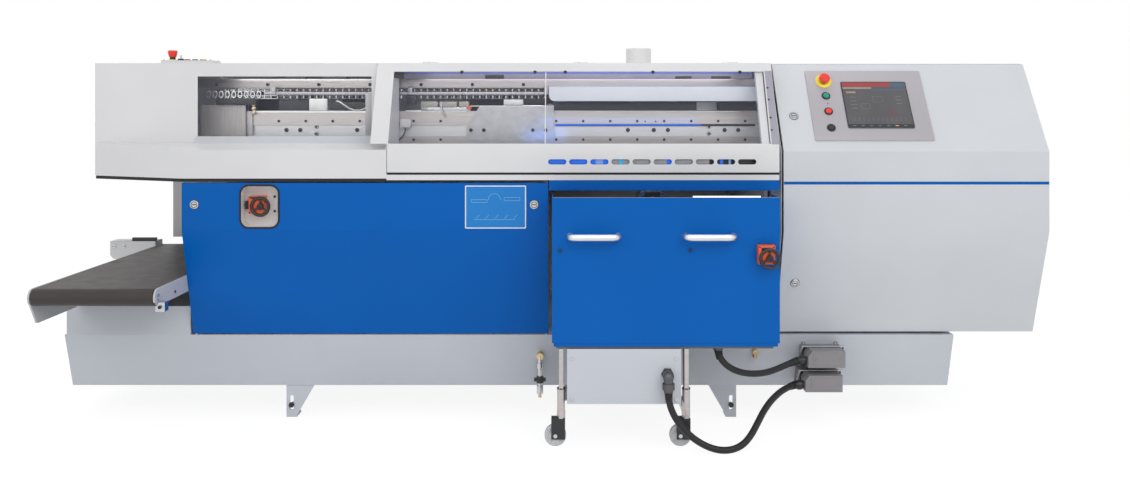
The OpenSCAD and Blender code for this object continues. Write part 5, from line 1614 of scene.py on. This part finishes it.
def conveyor_details(bm):
    """Axle ends, plate screws and the slotted heads of the side table."""
    collar = [(8.2, -1), (11, -1), (11, 1.2), (9.6, 2), (8.2, 2), (8.2, -1)]
    for x, way in ((49, LEFTWARDS), (479, RIGHTWARDS)):
        for y in ROLLER_YS:
            add_turned(bm, place(x, y, ROLLER_Z, way), collar, 1)
        for y in (-60, 250, 560):
            add_screw(bm, x, y, 520, 5, 2, 3, way)
    for x in (-131, -90):
        add_block(bm, (x - 7, 815.8, 555.1), (x + 7, 816.4, 556.9), 2, 0.1)


def belt_lap(bm):
    """Thin lapped joint across the belt."""
    add_block(bm, (59, 356, 557.6), (469, 359, 558.0), 1, 0.1)


class BINDER_OT_conveyor(Operator):
    """Delivery conveyor: belt with its lapped joint, rollers, side plates and side table"""

    bl_idname = "binder.conveyor"
    bl_label = "Conveyor"

    def execute(self, context):
        finishes = ["side_plate", "steel", "black", "cover", "rail_black", "base"]
        softened("conveyor_frame", finishes, 0.7, conveyor_finish, conveyor_details)
        softened("conveyor_belt", ["belt", "seal"], 0.6, None, belt_lap)
        for end in ("front", "rear"):
            softened("roller_" + end, ["steel"])
        return {"FINISHED"}


# ---- small fittings ----
# the left end and the middle height of the upper and the lower connector
CONNECTORS = ((2735, 260), (2725, 172))
PLINTH_FRONT_Y, PLINTH_TOP_Z = 117, 327
PLINTH_LEAN, PLINTH_RISE = 63, 205
SPIGOT_X, SPIGOT_Y = 2154, 400


def fitting_finish(mid, normal):
    if mid.x > 2600:
        return "connector"
    return "brass" if mid.x > 2500 or mid.z > 240 or mid.z < 112 else "steel"


def connector_details(bm):
    """Seal lips and mounting screws of the two connector housings."""
    for x, z in CONNECTORS:
        add_block(bm, (x + 2, 91.4, z - 29), (x + 142, 93, z + 29), 3, 0.4)
        for dx in (12, 132):
            for height in (z - 34.5, z + 34.5):
                front = PLINTH_FRONT_Y + PLINTH_LEAN * (PLINTH_TOP_Z - height) / PLINTH_RISE
                low, high = (x + dx - 7, front - 3, height - 5), (x + dx + 7, front + 1, height + 5)
                add_block(bm, low, high, 0, 1)
                add_screw(bm, x + dx, front - 2.8, height, 3.2, 2, 2)


def cable_hood_finish(mid, normal):
    edge = 2729.9 if mid.z < 200 else 2739.9
    return "black" if mid.x < edge else "connector"


def cable_hood_details(bm):
    """Raised ribs, pegs and clamping nuts on the two cable hoods."""
    for x, z in CONNECTORS:
        add_block(bm, (x + 24, 13.6, z - 22), (x + 130, 15.6, z + 22), 0, 0.9)
        for dx in (34, 120):
            add_turned(bm, place(x + dx, 13.8, z), disc(5, -1, 1.6, 0.6), 0, 20)
        add_turned(bm, place(x + 9, 50, z - 12, LEFTWARDS), ring(15.5, 19.4, -8, -1, 1), 1, 6)


class BINDER_OT_fittings(Operator):
    """Connectors with their levers and hoods, air coupling and grease nipple"""

    bl_idname = "binder.fittings"
    bl_label = "Plinth Fittings"

    def execute(self, context):
        fittings = ["connector", "brass", "steel", "seal"]
        softened("plinth_fittings", fittings, 0.8, fitting_finish, connector_details)
        hoods = ["connector", "black", "zinc"]
        softened("cable_hoods", hoods, 2.2, cable_hood_finish, cable_hood_details)
        softened("lever_upper", ["zinc"], 0.5)
        softened("lever_lower", ["zinc"], 0.5)
        softened("valve_sleeve", ["black"], 1.0)
        return {"FINISHED"}


def foot_finish(mid, normal):
    return "screw" if mid.y < 183.9 or 960 < mid.y < 977.9 else "base"


class BINDER_OT_feet(Operator):
    """Bolted foot brackets"""

    bl_idname = "binder.feet"
    bl_label = "Feet"

    def execute(self, context):
        softened("mounting_feet", ["base", "screw"], 0.7, foot_finish)
        return {"FINISHED"}


class BINDER_OT_exhaust(Operator):
    """Fume extraction spigot with its rolled rim and flange"""

    bl_idname = "binder.exhaust"
    bl_label = "Exhaust Spigot"

    def execute(self, context):
        bm = bmesh.new()
        add_turned(bm, place(SPIGOT_X, SPIGOT_Y, COVER_TOP_Z, UPWARDS), [
            (48.5, -40), (50, -40), (50, 0.2), (67.4, 0.2), (68, 0.8), (68, 2.4), (67.4, 3),
            (51.6, 3), (50, 4.6), (50, 58), (50, 66), (49.4, 67), (48.5, 66), (48.5, -40),
        ], 0, 96)
        for i in range(6):
            turn = math.radians(30 + 60 * i)
            x, y = SPIGOT_X + 59 * math.cos(turn), SPIGOT_Y + 59 * math.sin(turn)
            add_screw(bm, x, y, COVER_TOP_Z + 3, 4, 1, 2.4, UPWARDS)
        finishes = ["spigot", "screw"]
        finished("exhaust_spigot", bm, "machine_body", finishes, "exhaust_pipe")
        return {"FINISHED"}


def console_finish(mid, normal):
    if mid.z < 1352.1:
        return "cover"
    return "yellow" if mid.x < 358.2 else "black"


def console_screws(bm):
    for x in (320, 499):
        for y in (238, 322):
            add_screw(bm, x, y, 1352, 3.4, 3, 2, UPWARDS)


def key_finish(mid, normal):
    return "steel" if mid.z > 1360.2 else "black"


def console_stop_finish(mid, normal):
    return "red" if mid.z > 1366.5 else "black"


class BINDER_OT_console(Operator):
    """Console box with its stop, key, and three buttons"""

    bl_idname = "binder.console"
    bl_label = "Console"

    def execute(self, context):
        box = ["cover", "yellow", "black", "screw"]
        softened("console_box", box, 0.7, console_finish, console_screws)
        for finish in ("red", "green", "yellow"):
            softened("console_" + finish, [finish], 1.2)
        softened("console_key", ["black", "steel"], 0.5, key_finish)
        softened("console_estop", ["red", "black"], 0.8, console_stop_finish)
        return {"FINISHED"}


# ---- panel, registration and the whole build ----
STEP_CLASSES = (
    BINDER_OT_stage, BINDER_OT_fittings, BINDER_OT_cables, BINDER_OT_covers, BINDER_OT_hood,
    BINDER_OT_windows, BINDER_OT_mechanism, BINDER_OT_cabinet, BINDER_OT_operator_panel,
    BINDER_OT_locks, BINDER_OT_left_panel, BINDER_OT_handwheels, BINDER_OT_gluing_unit,
    BINDER_OT_casters, BINDER_OT_conveyor, BINDER_OT_feet, BINDER_OT_exhaust, BINDER_OT_console,
)


class BINDER_PT_panel(Panel):
    """Lists the steps that build the binder's looks"""

    bl_idname = "BINDER_PT_panel"
    bl_label = "Binder"
    bl_space_type = "VIEW_3D"
    bl_region_type = "UI"
    bl_category = "Binder"

    def draw(self, context):
        for group in (context.scene.binder_colours, context.scene.binder_sizes):
            column = self.layout.column()
            for name in group.__annotations__:
                column.prop(group, name)
        for step in STEP_CLASSES:
            self.layout.operator(step.bl_idname)


CLASSES = (BinderColours, BinderSizes, *STEP_CLASSES, BINDER_PT_panel)


def register():
    for cls in CLASSES:
        bpy.utils.register_class(cls)
    bpy.types.Scene.binder_colours = PointerProperty(type=BinderColours)
    bpy.types.Scene.binder_sizes = PointerProperty(type=BinderSizes)


def unregister():
    del bpy.types.Scene.binder_sizes
    del bpy.types.Scene.binder_colours
    for cls in reversed(CLASSES):
        bpy.utils.unregister_class(cls)


def main():
    register()
    for make, rows in finish_rows(bpy.context.scene.binder_colours).items():
        FINISHES.update({key: make(*values) for key, *values in rows})
    for step in STEP_CLASSES:
        getattr(bpy.ops.binder, step.bl_idname.split(".")[1])()


if __name__ == "__main__":
    main()
